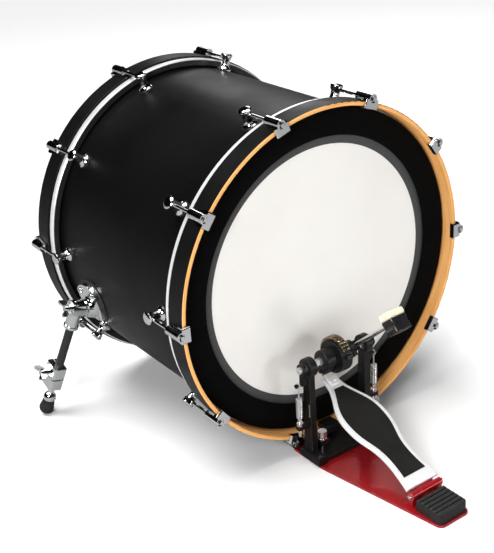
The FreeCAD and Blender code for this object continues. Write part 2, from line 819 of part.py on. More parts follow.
def spur_rod():
    """Inner rod with the round nut that backs the foot."""
    end = leg_length - foot_top / 2
    rod = cylinder(inner_rod_radius, end - inner_rod_top, Vector(0, 0, -end), z_axis)
    ball = Part.makeSphere(ball_radius, Vector(0, 0, -leg_length + ball_end))
    keep = box((-20, -20, -leg_length + foot_top), (20, 20, -leg_length + ball_end + ball_radius * 0.82))
    return fuse(rod, ball.common(keep))


def spur_foot():
    """Rubber tip, tapered above and round where it meets the floor."""
    centre = -leg_length
    radius = spur_foot_radius
    edges = [
        Part.LineSegment(Vector(0, 0, centre + foot_top),
                         Vector(foot_top_radius, 0, centre + foot_top)).toShape(),
        Part.LineSegment(Vector(foot_top_radius, 0, centre + foot_top), Vector(radius, 0, centre)).toShape(),
        Part.Arc(Vector(radius, 0, centre),
                 Vector(radius * math.sqrt(0.5), 0, centre - radius * math.sqrt(0.5)),
                 Vector(0, 0, centre - radius)).toShape(),
        Part.LineSegment(Vector(0, 0, centre - radius), Vector(0, 0, centre + foot_top)).toShape()]
    body = Part.Face(Part.Wire(edges)).revolve(Vector(), z_axis, 360)
    return body.cut(cylinder(inner_rod_radius, foot_top / 2, Vector(0, 0, centre + foot_top / 2), z_axis))


# ---- Pedal: base, posts and clamp, modelled about the pedal's centre plane ----
def base_plate():
    outline = [(-plate_half_front, plate_front), (-plate_half_front, plate_shoulder),
               (-plate_half_back, plate_back),
               (plate_half_back, plate_back), (plate_half_front, plate_shoulder),
               (plate_half_front, plate_front)]
    body = prism(outline, 0, plate_thickness)
    return rounded(body, plate_corner, lambda middle, edge: upright(edge))


def post(side):
    """Upright of the frame with the bearing housing on top and the spring's anchor arm outside."""
    foot = box((post_inner, post_foot_back, plate_thickness),
               (post_foot_outer, post_foot_front, post_foot_top))
    foot = rounded(foot, 3.0, lambda middle, edge: middle.z > post_foot_top - 0.1)
    centre = (post_inner + post_outer) / 2
    half = post_thickness / 2
    low = post_foot_top - 2.0
    column = polygon_face([
        Vector(centre - half, axle_y - post_depth_bottom / 2, low),
        Vector(centre - half, axle_y + post_depth_bottom / 2, low),
        Vector(centre - half, axle_y + post_depth_top / 2, axle_height),
        Vector(centre - half, axle_y - post_depth_top / 2,
               axle_height)]).extrude(Vector(post_thickness, 0, 0))
    housing = x_cylinder(housing_radius, post_inner, post_outer, axle_y, axle_height)
    housing = rounded(housing, housing_round, round_edge)
    arm_low = adjuster_arm_height
    arm = box((centre, axle_y - 5.0, arm_low), (spring_x + adjuster_nut_radius, axle_y + 5.0,
                                                arm_low + adjuster_arm_thickness))
    body = fuse(foot, column, housing, arm)
    bore = x_cylinder(bearing_radius, centre - bearing_width / 2, centre + bearing_width / 2, axle_y,
                      axle_height)
    way = x_cylinder(bearing_radius - 2.0, post_inner, post_outer, axle_y, axle_height)
    screw_hole = cylinder(adjuster_radius, adjuster_arm_thickness, Vector(spring_x, axle_y, arm_low), z_axis)
    body = body.cut([bore, way, screw_hole])
    return body if side > 0 else body.mirror(Vector(), x_axis)


def bearing(side):
    centre = side * (post_inner + post_outer) / 2
    outer = x_cylinder(bearing_radius, centre - bearing_width / 2, centre + bearing_width / 2, axle_y,
                       axle_height)
    inner = x_cylinder(axle_radius + running_gap, centre - bearing_width, centre + bearing_width, axle_y,
                       axle_height)
    return outer.cut(inner)


def hoop_bore(radius, start):
    """Disc of the drum's axis, from a distance along the drum, placed for the pedal's centre plane."""
    return drum_disc(radius, start, hoop_width).translated(Vector(-pedal_x, 0, 0))


def yoke():
    """Cross casting between the posts, with the anvil under the hoop and the jaw's pivot."""
    bar = box((-post_inner, post_foot_back + yoke_set_in, plate_thickness),
              (post_inner, yoke_front, yoke_top))
    anvil = box((-anvil_half, yoke_front, plate_thickness),
                (anvil_half, anvil_depth, hoop_floor_gap + anvil_rise))
    anvil = anvil.cut(hoop_bore(hoop_radius, 0))
    half = ear_width / 2
    ears = []
    for low in (ear_back, ear_front):
        ears.append(box((jaw_pivot_x - half, low, yoke_top - 1.0),
                        (jaw_pivot_x + half, low + ear_thickness, jaw_pivot_height + half)))
    pin = cylinder(jaw_pin_radius, ear_front - ear_back,
                   Vector(jaw_pivot_x, ear_back + 0.5, jaw_pivot_height),
                   y_axis)
    return fuse(bar, anvil, pin, *ears)


def hoop_jaw():
    """Lever that holds the hoop down: the screw lifts its tail and its nose presses on the hoop."""
    inside = axis_height - hoop_inner
    low = jaw_pivot_height - jaw_below_pivot
    high = jaw_pivot_height + jaw_above_pivot
    arm_front = -jaw_hoop_gap
    nose = box((-jaw_half, arm_front - 1.0, low), (jaw_half, jaw_depth, inside + jaw_thickness))
    nose = nose.common(hoop_bore(hoop_inner, -hoop_width))
    link = box((-jaw_half, jaw_back, low), (jaw_half, arm_front, inside + jaw_thickness))
    ear_room = ear_back + ear_thickness + jaw_hoop_gap / 2
    arm = box((jaw_pivot_x - ear_width / 2 - 2.0, ear_room, low),
              (jaw_half, ear_front - jaw_hoop_gap / 2, high))
    tail = box((hoop_screw_x - jaw_tail_half, hoop_screw_y - jaw_tail_half, low),
               (jaw_pivot_x - ear_width / 2 - 1.0, ear_front, high))
    body = fuse(nose, link, arm, tail)
    pin_hole = cylinder(jaw_pin_radius, 2 * ear_width, Vector(jaw_pivot_x, ear_back, jaw_pivot_height),
                        y_axis)
    screw_hole = cylinder(hoop_screw_radius + running_gap, reach, Vector(hoop_screw_x, hoop_screw_y, 0),
                          z_axis)
    return body.cut([pin_hole, screw_hole])


def hoop_screw():
    """Thumb screw of the hoop clamp, with a knurled head."""
    tip = yoke_top + 0.4
    seat = jaw_pivot_height + jaw_above_pivot + swivel_gap
    shaft = cylinder(hoop_screw_radius, seat - tip + 1.0, Vector(hoop_screw_x, hoop_screw_y, tip), z_axis)
    knob = cylinder(hoop_screw_head_radius, hoop_screw_head, Vector(hoop_screw_x, hoop_screw_y, seat),
                    z_axis)
    grooves = []
    count = 16
    for i in range(count):
        angle = math.radians(360 * i / count)
        spot = Vector(hoop_screw_x + hoop_screw_head_radius * math.cos(angle),
                      hoop_screw_y + hoop_screw_head_radius * math.sin(angle), seat + 2.0)
        grooves.append(cylinder(0.7, hoop_screw_head - 4.0, spot, z_axis))
    return fuse(shaft, knob.cut(grooves))


def heel_block():
    """Ribbed block under the player's heel."""
    outline = [(-heel_half, heel_front), (heel_half, heel_front), (heel_half, heel_back),
               (-heel_half, heel_back)]
    body = prism(outline, plate_thickness, heel_top)
    body = rounded(body, 8.0, lambda middle, edge: upright(edge) and middle.y < (heel_front + heel_back) / 2)
    body = rounded(body, 2.5, lambda middle, edge: middle.z > heel_top - 0.1)
    step = (heel_front - heel_back) / (heel_rib_count + 1)
    grooves = []
    for i in range(heel_rib_count):
        y = heel_back + step * (i + 1)
        grooves.append(box((-heel_half, y - step * 0.2, heel_top - heel_rib_depth),
                           (heel_half, y + step * 0.2, heel_top)))
    return body.cut(grooves)


def heel_hinge():
    """Fixed leaf of the heel hinge with its two outer knuckles."""
    leaf = box((-knuckle_half, heel_front, plate_thickness),
               (knuckle_half, hinge_y + 12.0, plate_thickness + leaf_thickness))
    parts = [leaf]
    for low, high in ((-knuckle_half, -knuckle_middle_half), (knuckle_middle_half, knuckle_half)):
        parts.append(x_cylinder(knuckle_radius, low, high, hinge_y, hinge_height))
        parts.append(box((low, hinge_y - 4.0, plate_thickness), (high, hinge_y + 4.0, hinge_height)))
    return fuse(*parts).cut(x_cylinder(hinge_pin_radius, -reach, reach, hinge_y, hinge_height))


def hinge_pin():
    length = knuckle_half + 4.0
    return x_cylinder(hinge_pin_radius, -length, length, hinge_y, hinge_height)


# ---- Pedal: footboard, modelled flat with the hinge line at its origin ----
def board_outline(margin, start, end):
    """Plan of the footboard between two distances from the hinge, inset by the margin."""
    stations = [
        (board_start, board_heel_half), (board_neck * 0.5, board_heel_half - 4.0),
        (board_neck, board_neck_half),
        (board_neck * 1.5, board_neck_half + 4.0), (board_wide - 28.0, board_wide_half - 3.5),
        (board_wide, board_wide_half), (board_wide + 26.0, board_wide_half - 2.5),
        (board_wide + 50.0, board_wide_half - 12.5), (board_wide + 73.0, board_toe_half + 4.5),
        (board_end, board_toe_half)]
    curve = Part.BSplineCurve()
    curve.interpolate([Vector(half - margin, u, 0) for u, half in stations])
    whole = curve.toShape()
    other = whole.mirror(Vector(), x_axis)
    first, last = stations[0], stations[-1]
    heel = Part.LineSegment(Vector(margin - first[1], first[0], 0),
                            Vector(first[1] - margin, first[0], 0)).toShape()
    toe = Part.LineSegment(Vector(last[1] - margin, last[0], 0),
                           Vector(margin - last[1], last[0], 0)).toShape()
    face = Part.Face(Part.Wire(Part.__sortEdges__([heel, whole, toe, other])))
    window = Part.Face(Part.makePolygon([Vector(-reach, start, 0), Vector(reach, start, 0),
                                         Vector(reach, end, 0),
                                         Vector(-reach, end, 0), Vector(-reach, start, 0)]))
    return face.common(window).Faces[0]


def footboard():
    plate = board_outline(0, board_start, board_end).extrude(Vector(0, 0, board_thickness))
    plate = plate.translated(Vector(0, 0, board_lift))
    top = board_lift + board_thickness
    plate = chamfered(plate, 1.2, lambda middle, edge: middle.z > top - 0.01)
    pocket = board_outline(grip_margin, grip_start, grip_end).extrude(Vector(0, 0, 2 * grip_pocket))
    pocket = pocket.translated(Vector(0, 0, top - grip_pocket))
    rib = box((-4.0, board_neck, board_lift - 7.0), (4.0, board_end - 30.0, board_lift + 0.5))
    rib = rounded(rib, 2.0, lambda middle, edge: middle.z < board_lift - 6.9)
    return placed(fuse(plate.cut(pocket), rib), board_place)


def footboard_grip():
    low = board_lift + board_thickness - grip_pocket
    pad = board_outline(grip_margin, grip_start, grip_end).extrude(Vector(0, 0, grip_thickness))
    pad = pad.translated(Vector(0, 0, low))
    return placed(chamfered(pad, 0.5, lambda middle, edge: middle.z > low + grip_thickness - 0.01),
                  board_place)


def board_hinge():
    """Moving leaf of the heel hinge, fixed under the footboard."""
    half = knuckle_middle_half - hinge_gap
    knuckle = x_cylinder(knuckle_radius, -half, half, 0, 0)
    tongue = box((-half, 0, board_lift - leaf_thickness), (half, board_start, board_lift))
    leaf = box((-board_neck_half + 6.0, knuckle_radius + 1.0, board_lift - leaf_thickness),
               (board_neck_half - 6.0, board_start + 28.0, board_lift))
    body = fuse(knuckle, tongue, leaf)
    bore = x_cylinder(hinge_pin_radius + running_gap, -reach, reach, 0, 0)
    return placed(body.cut(bore), board_place)


def toe_clamp():
    """Block on the toe of the footboard that holds the end of the chain, with its two screws."""
    top = board_lift + board_thickness
    block = box((-8.5, board_end - 20.0, top), (8.5, board_end - 2.0, top + 4.0))
    block = rounded(block, 1.5, lambda middle, edge: middle.z > top + 3.9)
    screws = [cylinder(2.8, 1.6, Vector(x, board_end - 12.0, top + 4.0), z_axis) for x in (-4.5, 4.5)]
    arm = box((-7.0, board_end - 6.0, top), (7.0, board_end + toe_eye_ahead, top + toe_arm))
    eye = x_cylinder(toe_eye_radius, -7.0, 7.0, board_end + toe_eye_ahead, top + toe_arm - toe_eye_radius)
    return placed(fuse(block, arm, eye, *screws), board_place)


def toe_eye():
    """Centre of the eye that the chain hangs on, in the pedal's frame."""
    height = board_lift + board_thickness + toe_arm - toe_eye_radius
    return board_place.multVec(Vector(0, board_end + toe_eye_ahead, height))


# ---- Pedal: axle group ----
def axle():
    rod = x_cylinder(axle_radius, -axle_half_length, axle_half_length, axle_y, axle_height)
    middle = hex_bar(axle_hex_flats, -axle_hex_half, axle_hex_half, axle_y, axle_height)
    return fuse(rod, middle)


def sprocket():
    """Chain drum with two cheeks and the clamp hub that grips the axle."""
    drum = x_cylinder(chain_inner, -cheek_half, cheek_half, axle_y, axle_height)
    teeth = []
    count = 32
    pitch_angle = 360.0 / count
    for i in range(count):
        angle = math.radians(pitch_angle * i)
        for low in (-sprocket_half, sprocket_half - 2.6):
            spot = Vector(low, axle_y + chain_inner * math.sin(angle),
                          axle_height + chain_inner * math.cos(angle))
            teeth.append(cylinder(1.1, 2.6, spot, x_axis))
    hub = x_cylinder(sprocket_hub_radius, sprocket_hub_left, cheek_half, axle_y, axle_height)
    hub = rounded(hub, sprocket_hub_round, lambda middle, edge: middle.x < sprocket_hub_left + 0.1)
    lobe = box((sprocket_hub_left, axle_y - 8.0, axle_height - 24.0),
               (-cheek_half, axle_y + 8.0, axle_height))
    lobe = rounded(lobe, 3.0, lambda middle, edge: middle.z < axle_height - 20.0)
    screw = x_cylinder(3.4, sprocket_hub_left - 2.0, sprocket_hub_left, axle_y, axle_height - 19.0)
    anchor = box((-6.0, -cheek_radius - 12.0, -3.0), (6.0, -cheek_radius + 4.0, 3.0))
    anchor = placed(anchor,
                    Placement(Vector(0, axle_y, axle_height), Rotation(x_axis, chain_end_angle - 76.0)))
    body = fuse(drum, hub, lobe, screw, anchor)
    return body.cut(axle())


def chain_wrap():
    """Envelope of the chain on the sprocket, from the drum side over the top to its anchor."""
    sector = ring_about_axle(chain_inner, chain_outer, chain_width / 2)
    span = 90.0 + chain_end_angle
    wedge = polygon_face([Vector(-chain_width, 0, 0), Vector(-chain_width, 2 * chain_outer, 0),
                          Vector(chain_width, 2 * chain_outer, 0), Vector(chain_width, 0, 0)])
    room = wedge.revolve(Vector(), x_axis, span).translated(Vector(0, axle_y, axle_height))
    return sector.common(room)


def ring_about_axle(inner, outer, half):
    whole = x_cylinder(outer, -half, half, axle_y, axle_height)
    return whole.cut(x_cylinder(inner, -reach, reach, axle_y, axle_height))


def chain_run():
    """Straight stretch of chain between the sprocket and the toe of the footboard."""
    low = toe_eye().z + toe_eye_radius + chain_gap
    high = axle_height - chain_gap
    near = chain_y - chain_height / 2 + chain_run_inset
    return box((-chain_width / 2, near, low), (chain_width / 2, chain_y + chain_height / 2, high))


def beater_hub():
    """Block clamped on the axle that holds the beater's shaft."""
    ring_part = x_cylinder(beater_hub_radius, -beater_hub_half, beater_hub_half, 0, 0)
    tower = box((-beater_hub_half, -9.0, 0), (beater_hub_half, 9.0, beater_hub_radius + 12.0))
    tower = rounded(tower, 3.0, lambda middle, edge: upright(edge))
    screw = cylinder(3.6, 7.0, Vector(0, -9.0, beater_hub_radius + 5.0), Vector(0, -1, 0))
    body = fuse(ring_part, tower, screw)
    socket = cylinder(beater_shaft_radius + running_gap, reach, Vector(0, 0, beater_shaft_start - 1.0),
                      z_axis)
    return placed(body.cut(socket), beater_place).cut(axle())


def beater_shaft():
    length = beater_reach - beater_length / 2 + 8.0 - beater_shaft_start
    return placed(cylinder(beater_shaft_radius, length, Vector(0, 0, beater_shaft_start), z_axis),
                  beater_place)


def beater_block(low, high):
    """Rounded block of the beater between two depths along its stroke."""
    half_width = beater_width / 2
    half_length = beater_length / 2
    body = box((-half_width, low, beater_reach - half_length),
               (half_width, high, beater_reach + half_length))
    return rounded(body, beater_round, lambda middle, edge: abs(middle.y - (low + high) / 2) < 0.01)


def beater_felt():
    front = beater_depth / 2
    body = beater_block(front - felt_depth, front)
    body = rounded(body, 2.0, lambda middle, edge: middle.y > front - 0.01)
    return placed(body, beater_place)


def beater_body():
    back = -beater_depth / 2
    body = beater_block(back, beater_depth / 2 - felt_depth)
    body = rounded(body, 2.5, lambda middle, edge: middle.y < back + 0.01)
    waist = []
    for side in (-1, 1):
        waist.append(cylinder(9.0, 2 * beater_length,
                              Vector(side * (beater_width / 2 + 6.0), -4.0, beater_reach - beater_length),
                              z_axis))
    shaft_room = cylinder(beater_shaft_radius, reach, Vector(0, 0, beater_shaft_start), z_axis)
    keep = cylinder(reach, beater_reach - beater_length / 2 + 8.0, Vector(), z_axis)
    return placed(body.cut(waist).cut(shaft_room.common(keep)), beater_place)


def rocker(side):
    """Spring arm on the end of the axle, with the pin that the spring hangs on."""
    hub = x_cylinder(rocker_hub_radius, rocker_inner, rocker_outer, axle_y, axle_height)
    arm = box((rocker_inner, axle_y - 4.5, axle_height - rocker_reach),
              (rocker_outer, axle_y + 4.5, axle_height))
    tip = x_cylinder(4.5, rocker_inner, rocker_outer, axle_y, axle_height - rocker_reach)
    pin = x_cylinder(rocker_pin_radius, rocker_inner, spring_x + 4.0, axle_y, axle_height - rocker_reach)
    cap = x_cylinder(rocker_pin_radius + 1.4, spring_x + 4.0, spring_x + 6.0, axle_y,
                     axle_height - rocker_reach)
    body = fuse(hub, arm, tip, pin, cap).cut(axle())
    return body if side > 0 else body.mirror(Vector(), x_axis)


def spring(side):
    """Envelope of the return spring with its upper hook."""
    coil = cylinder(spring_radius, spring_top - spring_bottom,
                    Vector(side * spring_x, axle_y, spring_bottom), z_axis)
    hook_top = axle_height - rocker_reach - rocker_pin_radius - chain_gap
    hook = cylinder(spring_wire, hook_top - spring_top, Vector(side * spring_x, axle_y, spring_top), z_axis)
    return fuse(coil, hook)


def spring_adjuster(side):
    """Threaded rod under a spring, with a nut above and below the anchor arm."""
    x = side * spring_x
    rod = cylinder(adjuster_radius, spring_bottom - adjuster_bottom, Vector(x, axle_y, adjuster_bottom),
                   z_axis)
    arm_top = adjuster_arm_height + adjuster_arm_thickness
    upper = cylinder(adjuster_nut_radius, adjuster_nut_height, Vector(x, axle_y, arm_top), z_axis)
    lower = cylinder(adjuster_nut_radius, adjuster_nut_height,
                     Vector(x, axle_y, adjuster_arm_height - adjuster_nut_height),
                     z_axis)
    return fuse(rod, upper, lower)


# ---- Write every sub-part ----
def main():
    os.makedirs("parts", exist_ok=True)
    save("shell", shell())
    save("batter_hoop", wood_hoop())
    save("resonant_hoop", drum_mirror(wood_hoop()))
    save("batter_head", head())
    save("resonant_head", drum_mirror(head()))
    save("batter_flesh_hoop", flesh_hoop())
    save("resonant_flesh_hoop", drum_mirror(flesh_hoop()))
    save("muffle_collar", muffle_collar())
    save("muffle_foam", muffle_foam())
    save("hoop_claws", around_both_ends(claw()))
    save("claw_pads", around_both_ends(claw_pad()))
    save("tension_rods", around_both_ends(tension_rod()))
    save("lugs", around_both_ends(lug()))
    save("lug_gaskets", around_both_ends(lug_gasket()))
    save("lug_screws", around_both_ends(lug_screw()))
    save("swivel_nuts", around_both_ends(swivel_nut()))
    save("air_vent", air_vent())

    spur_pieces = {
        "bracket": bracket(),
        "swivel": placed(spur_swivel(), spur_place),
        "wing_bolt": placed(wing_bolt(), spur_place),
        "leg_tube": placed(leg_tube(), spur_place),
        "memory_clamp": placed(memory_clamp(), spur_place),
        "clamp_screw": placed(clamp_screw(), spur_place),
        "inner_rod": placed(spur_rod(), spur_place),
        "foot": placed(spur_foot(), spur_place)}
    for name, piece in spur_pieces.items():
        save("spur_left_" + name, piece)
        save("spur_right_" + name, side_mirror(piece))
    save("spur_gaskets", [bracket_seal(), side_mirror(bracket_seal())])
    save("spur_bracket_screws", bracket_screws() + [side_mirror(screw) for screw in bracket_screws()])

    pedal_pieces = {
        "base_plate": [base_plate()],
        "posts": [post(-1), post(1)],
        "bearings": [bearing(-1), bearing(1)],
        "yoke": [yoke()],
        "hoop_jaw": [hoop_jaw()],
        "hoop_screw": [hoop_screw()],
        "heel_block": [heel_block()],
        "heel_hinge": [heel_hinge()],
        "hinge_pin": [hinge_pin()],
        "footboard": [footboard()],
        "footboard_grip": [footboard_grip()],
        "board_hinge": [board_hinge()],
        "toe_clamp": [toe_clamp()],
        "axle": [axle()],
        "sprocket": [sprocket()],
        "chain_wrap": [chain_wrap()],
        "chain_run": [chain_run()],
        "beater_hub": [beater_hub()],
        "beater_shaft": [beater_shaft()],
        "beater_felt": [beater_felt()],
        "beater_body": [beater_body()],
        "rockers": [rocker(-1), rocker(1)],
        "spring_left": [spring(-1)],
        "spring_right": [spring(1)],
        "spring_adjusters": [spring_adjuster(-1), spring_adjuster(1)]}
    for name, pieces in pedal_pieces.items():
        save("pedal_" + name, [pedal(piece) for piece in pieces])


main()
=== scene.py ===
import bpy
import bmesh
import json
import math
from mathutils import Matrix, Vector


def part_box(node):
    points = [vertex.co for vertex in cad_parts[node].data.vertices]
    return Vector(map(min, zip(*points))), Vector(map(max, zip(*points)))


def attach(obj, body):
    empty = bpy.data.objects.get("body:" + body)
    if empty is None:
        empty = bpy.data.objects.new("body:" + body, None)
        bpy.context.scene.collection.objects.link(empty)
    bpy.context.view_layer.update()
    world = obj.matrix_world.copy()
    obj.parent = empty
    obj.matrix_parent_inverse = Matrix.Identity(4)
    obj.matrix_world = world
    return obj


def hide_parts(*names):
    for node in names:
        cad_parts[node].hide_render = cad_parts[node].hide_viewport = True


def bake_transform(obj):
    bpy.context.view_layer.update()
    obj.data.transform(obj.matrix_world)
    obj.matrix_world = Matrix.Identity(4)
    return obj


# bass drum on folding spurs, with a chain pedal clamped to the batter hoop
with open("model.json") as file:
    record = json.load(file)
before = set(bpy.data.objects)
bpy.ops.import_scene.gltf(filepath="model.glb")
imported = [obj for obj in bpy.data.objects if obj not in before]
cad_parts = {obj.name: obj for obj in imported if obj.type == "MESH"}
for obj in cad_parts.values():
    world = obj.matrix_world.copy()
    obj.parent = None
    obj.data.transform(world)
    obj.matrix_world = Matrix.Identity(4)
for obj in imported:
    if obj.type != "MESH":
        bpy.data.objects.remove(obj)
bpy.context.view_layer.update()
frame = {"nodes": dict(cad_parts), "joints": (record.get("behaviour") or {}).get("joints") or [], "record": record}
nodes = frame["nodes"]
shellLow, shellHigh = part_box("shell")
drumAxis = (shellLow.z + shellHigh.z) / 2
drumMiddle = (shellLow.y + shellHigh.y) / 2
hoopLow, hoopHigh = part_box("batter_hoop")
hoopRadius = hoopHigh.x
axleLow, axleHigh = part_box("pedal_axle")
axleSpot = (axleLow + axleHigh) / 2
print("frame loaded:", len(nodes), "parts")


# shader helpers
def put(tree, kind, inputs=None, **settings):
    node = tree.nodes.new("ShaderNode" + kind)
    for name, value in settings.items():
        setattr(node, name, value)
    for name, value in (inputs or {}).items():
        if isinstance(value, bpy.types.NodeSocket):
            tree.links.new(value, node.inputs[name])
        else:
            node.inputs[name].default_value = value
    return node


def calc(tree, operation, first, second=0.0):
    node = put(tree, "Math", {0: first, 1: second}, operation=operation)
    return node.outputs[0]


def ramp(tree, value, low, high, start=0.0, end=1.0):
    node = put(tree, "MapRange", {"Value": value, 1: low, 2: high, 3: start, 4: end},
               interpolation_type="SMOOTHSTEP")
    return node.outputs[0]


def blendColor(tree, amount, first, second):
    first, second = [(*color, 1) if isinstance(color, tuple) else color for color in (first, second)]
    node = put(tree, "Mix", {0: amount, 6: first, 7: second}, data_type="RGBA")
    return node.outputs[2]


def objectSpot(tree):
    return put(tree, "TexCoord").outputs["Object"]


def newGroup(name, inputs, outputs):
    group = bpy.data.node_groups.new(name, "ShaderNodeTree")
    for label, value in inputs.items():
        socket = group.interface.new_socket(label, in_out="INPUT", socket_type="NodeSocketFloat")
        socket.default_value = value
    for label, kind in outputs.items():
        group.interface.new_socket(label, in_out="OUTPUT", socket_type="NodeSocket" + kind)
    start = group.nodes.new("NodeGroupInput")
    end = group.nodes.new("NodeGroupOutput")
    return group, start.outputs, end.inputs


def placeGroup(tree, group, inputs=None):
    node = tree.nodes.new("ShaderNodeGroup")
    node.node_tree = group
    for name, value in (inputs or {}).items():
        node.inputs[name].default_value = value
    return node.outputs


# handling marks: broad soft patches and fine dust, from 0 to 1
def makeHandling():
    group, given, result = newGroup("handling", {"Size": 30.0, "Low": 0.2, "High": 0.3}, {"Value": "Float"})
    broad = put(group, "TexNoise", {"Vector": objectSpot(group), "Scale": given["Size"], "Detail": 5.0})
    fine = put(group, "TexNoise", {"Vector": objectSpot(group), "Scale": 700.0, "Detail": 2.0})
    dust = calc(group, "MULTIPLY", fine.outputs["Fac"], 0.25)
    total = calc(group, "ADD", dust, calc(group, "MULTIPLY", broad.outputs["Fac"], 0.75))
    spread = put(group, "MapRange", {"Value": total, 1: 0.35, 2: 0.65, 3: given["Low"], 4: given["High"]})
    group.links.new(spread.outputs[0], result["Value"])
    return group


# where a coating has rubbed thin along outside edges
def makeEdgeWear():
    group, given, result = newGroup("edgeWear", {"Width": 0.0008, "Breakup": 160.0}, {"Mask": "Float"})
    plain = put(group, "NewGeometry").outputs["Normal"]
    soft = put(group, "Bevel", {"Radius": given["Width"]}, samples=4).outputs["Normal"]
    turn = put(group, "VectorMath", {0: plain, 1: soft}, operation="DOT_PRODUCT").outputs["Value"]
    edge = ramp(group, turn, 0.99, 0.90)
    patch = put(group, "TexNoise", {"Vector": objectSpot(group), "Scale": given["Breakup"], "Detail": 4.0})
    kept = ramp(group, patch.outputs["Fac"], 0.48, 0.62)
    group.links.new(calc(group, "MULTIPLY", edge, kept), result["Mask"])
    return group


# hairline marks drawn out along one direction
def makeHairlines():
    group, given, result = newGroup("hairlines", {"Across": 900.0, "Along": 12.0}, {"Height": "Float"})
    stretch = put(group, "CombineXYZ", {0: given["Along"], 1: given["Across"], 2: given["Across"]})
    laid = put(group, "VectorMath", {0: objectSpot(group), 1: stretch.outputs[0]}, operation="MULTIPLY")
    lines = put(group, "TexNoise", {"Vector": laid.outputs[0], "Scale": 1.0, "Detail": 3.0})
    group.links.new(lines.outputs["Fac"], result["Height"])
    return group


# distance out from the drum's axis, place along the rim and depth in from the nearer end
def makeDrumPlace():
    group, given, result = newGroup("drumPlace", {"Arc": 0.29},
                                    {"Radius": "Float", "Rim": "Float", "Depth": "Float"})
    parts = put(group, "SeparateXYZ", {"Vector": objectSpot(group)}).outputs
    up = calc(group, "SUBTRACT", parts["Z"], drumAxis)
    across = calc(group, "MULTIPLY", parts["X"], parts["X"])
    squares = calc(group, "ADD", across, calc(group, "MULTIPLY", up, up))
    group.links.new(calc(group, "SQRT", squares), result["Radius"])
    angle = calc(group, "ARCTAN2", parts["X"], up)
    group.links.new(calc(group, "MULTIPLY", angle, given["Arc"]), result["Rim"])
    fromMiddle = calc(group, "ABSOLUTE", calc(group, "SUBTRACT", parts["Y"], drumMiddle))
    group.links.new(calc(group, "SUBTRACT", drumMiddle, fromMiddle), result["Depth"])
    return group


handling = makeHandling()
edgeWear = makeEdgeWear()
hairlines = makeHairlines()
drumPlace = makeDrumPlace()


def newFinish(name, look):
    material = bpy.data.materials.new(name)
    material.use_nodes = True
    tree = material.node_tree
    shader = tree.nodes["Principled BSDF"]
    shader.inputs["Base Color"].default_value = (*look["color"], 1)
    shader.inputs["Metallic"].default_value = look.get("metallic", 0.0)
    shader.inputs["Coat Weight"].default_value = look.get("coat", 0.0)
    shader.inputs["Coat Roughness"].default_value = look.get("coatRoughness", 0.08)
    shader.inputs["Specular IOR Level"].default_value = look.get("specular", 0.5)
    low, high = look["roughness"]
    marks = placeGroup(tree, handling, {"Size": look.get("marks", 40.0), "Low": low, "High": high})
    tree.links.new(marks["Value"], shader.inputs["Roughness"])
    return material, tree, shader


def addBump(tree, shader, height, strength, distance):
    bump = put(tree, "Bump", {"Height": height, "Strength": strength, "Distance": distance})
    tree.links.new(bump.outputs["Normal"], shader.inputs["Normal"])


def noise(tree, scale, detail):
    node = put(tree, "TexNoise", {"Vector": objectSpot(tree), "Scale": scale, "Detail": detail})
    return node.outputs["Fac"]


def patches(tree, size):
    return placeGroup(tree, handling, {"Size": size, "Low": 0.0, "High": 1.0})["Value"]


def paint(tree, shader, amount, first, second):
    tree.links.new(blendColor(tree, amount, first, second), shader.inputs["Base Color"])


# polished and plated metals: a base colour, handling marks and a little unevenness in the plate
def metalFinish(name, look):
    material, tree, shader = newFinish(name, dict({"metallic": 1.0}, **look))
    tint = patches(tree, 9.0)
    dull = tuple(c * look.get("dullness", 0.82) for c in look["color"])
    paint(tree, shader, tint, look["color"], dull)
    if look.get("brushed"):
        along, across = look["brushed"]
        height = placeGroup(tree, hairlines, {"Along": along, "Across": across})["Height"]
    else:
        height = noise(tree, look.get("grain", 260.0), 3.0)
    addBump(tree, shader, height, look.get("bump", 0.06), 0.0003)
    return material


chrome = metalFinish("chrome", {"color": (0.86, 0.87, 0.88), "roughness": (0.04, 0.13), "dullness": 0.9,
                                "marks": 70.0, "bump": 0.03})
steel = metalFinish("steel", {"color": (0.82, 0.82, 0.82), "roughness": (0.22, 0.38), "metallic": 0.8,
                              "brushed": (14.0, 1100.0), "bump": 0.10})
brass = metalFinish("brass", {"color": (0.80, 0.58, 0.28), "roughness": (0.20, 0.36), "bump": 0.08})
chainGold = metalFinish("chainGold", {"color": (0.56, 0.46, 0.33), "roughness": (0.18, 0.36),
                                      "dullness": 0.45, "marks": 220.0, "bump": 0.08})


# flesh hoops: satin aluminium outside, and a dark painted shade on the face towards the shell
def makeBrightRing():
    look = {"color": (0.86, 0.86, 0.86), "roughness": (0.28, 0.42), "grain": 420.0, "bump": 0.08,
            "metallic": 0.45, "dullness": 0.92, "paintedShade": (0.030, 0.030, 0.030),
            "faceFrom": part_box("batter_flesh_hoop")[1].y - hoopLow.y, "faceEdge": (0.0010, 0.0003)}
    material = metalFinish("brightRing", look)
    tree = material.node_tree
    shader = tree.nodes["Principled BSDF"]
    plain = shader.inputs["Base Color"].links[0].from_socket
    depth = placeGroup(tree, drumPlace)["Depth"]
    face = ramp(tree, depth, look["faceFrom"] - look["faceEdge"][0], look["faceFrom"] - look["faceEdge"][1])
    # painted shade: the face towards the shell is darkened in its colour, standing in for the shell's shadow and
    # dark reflection
    paint(tree, shader, face, plain, look["paintedShade"])
    return material


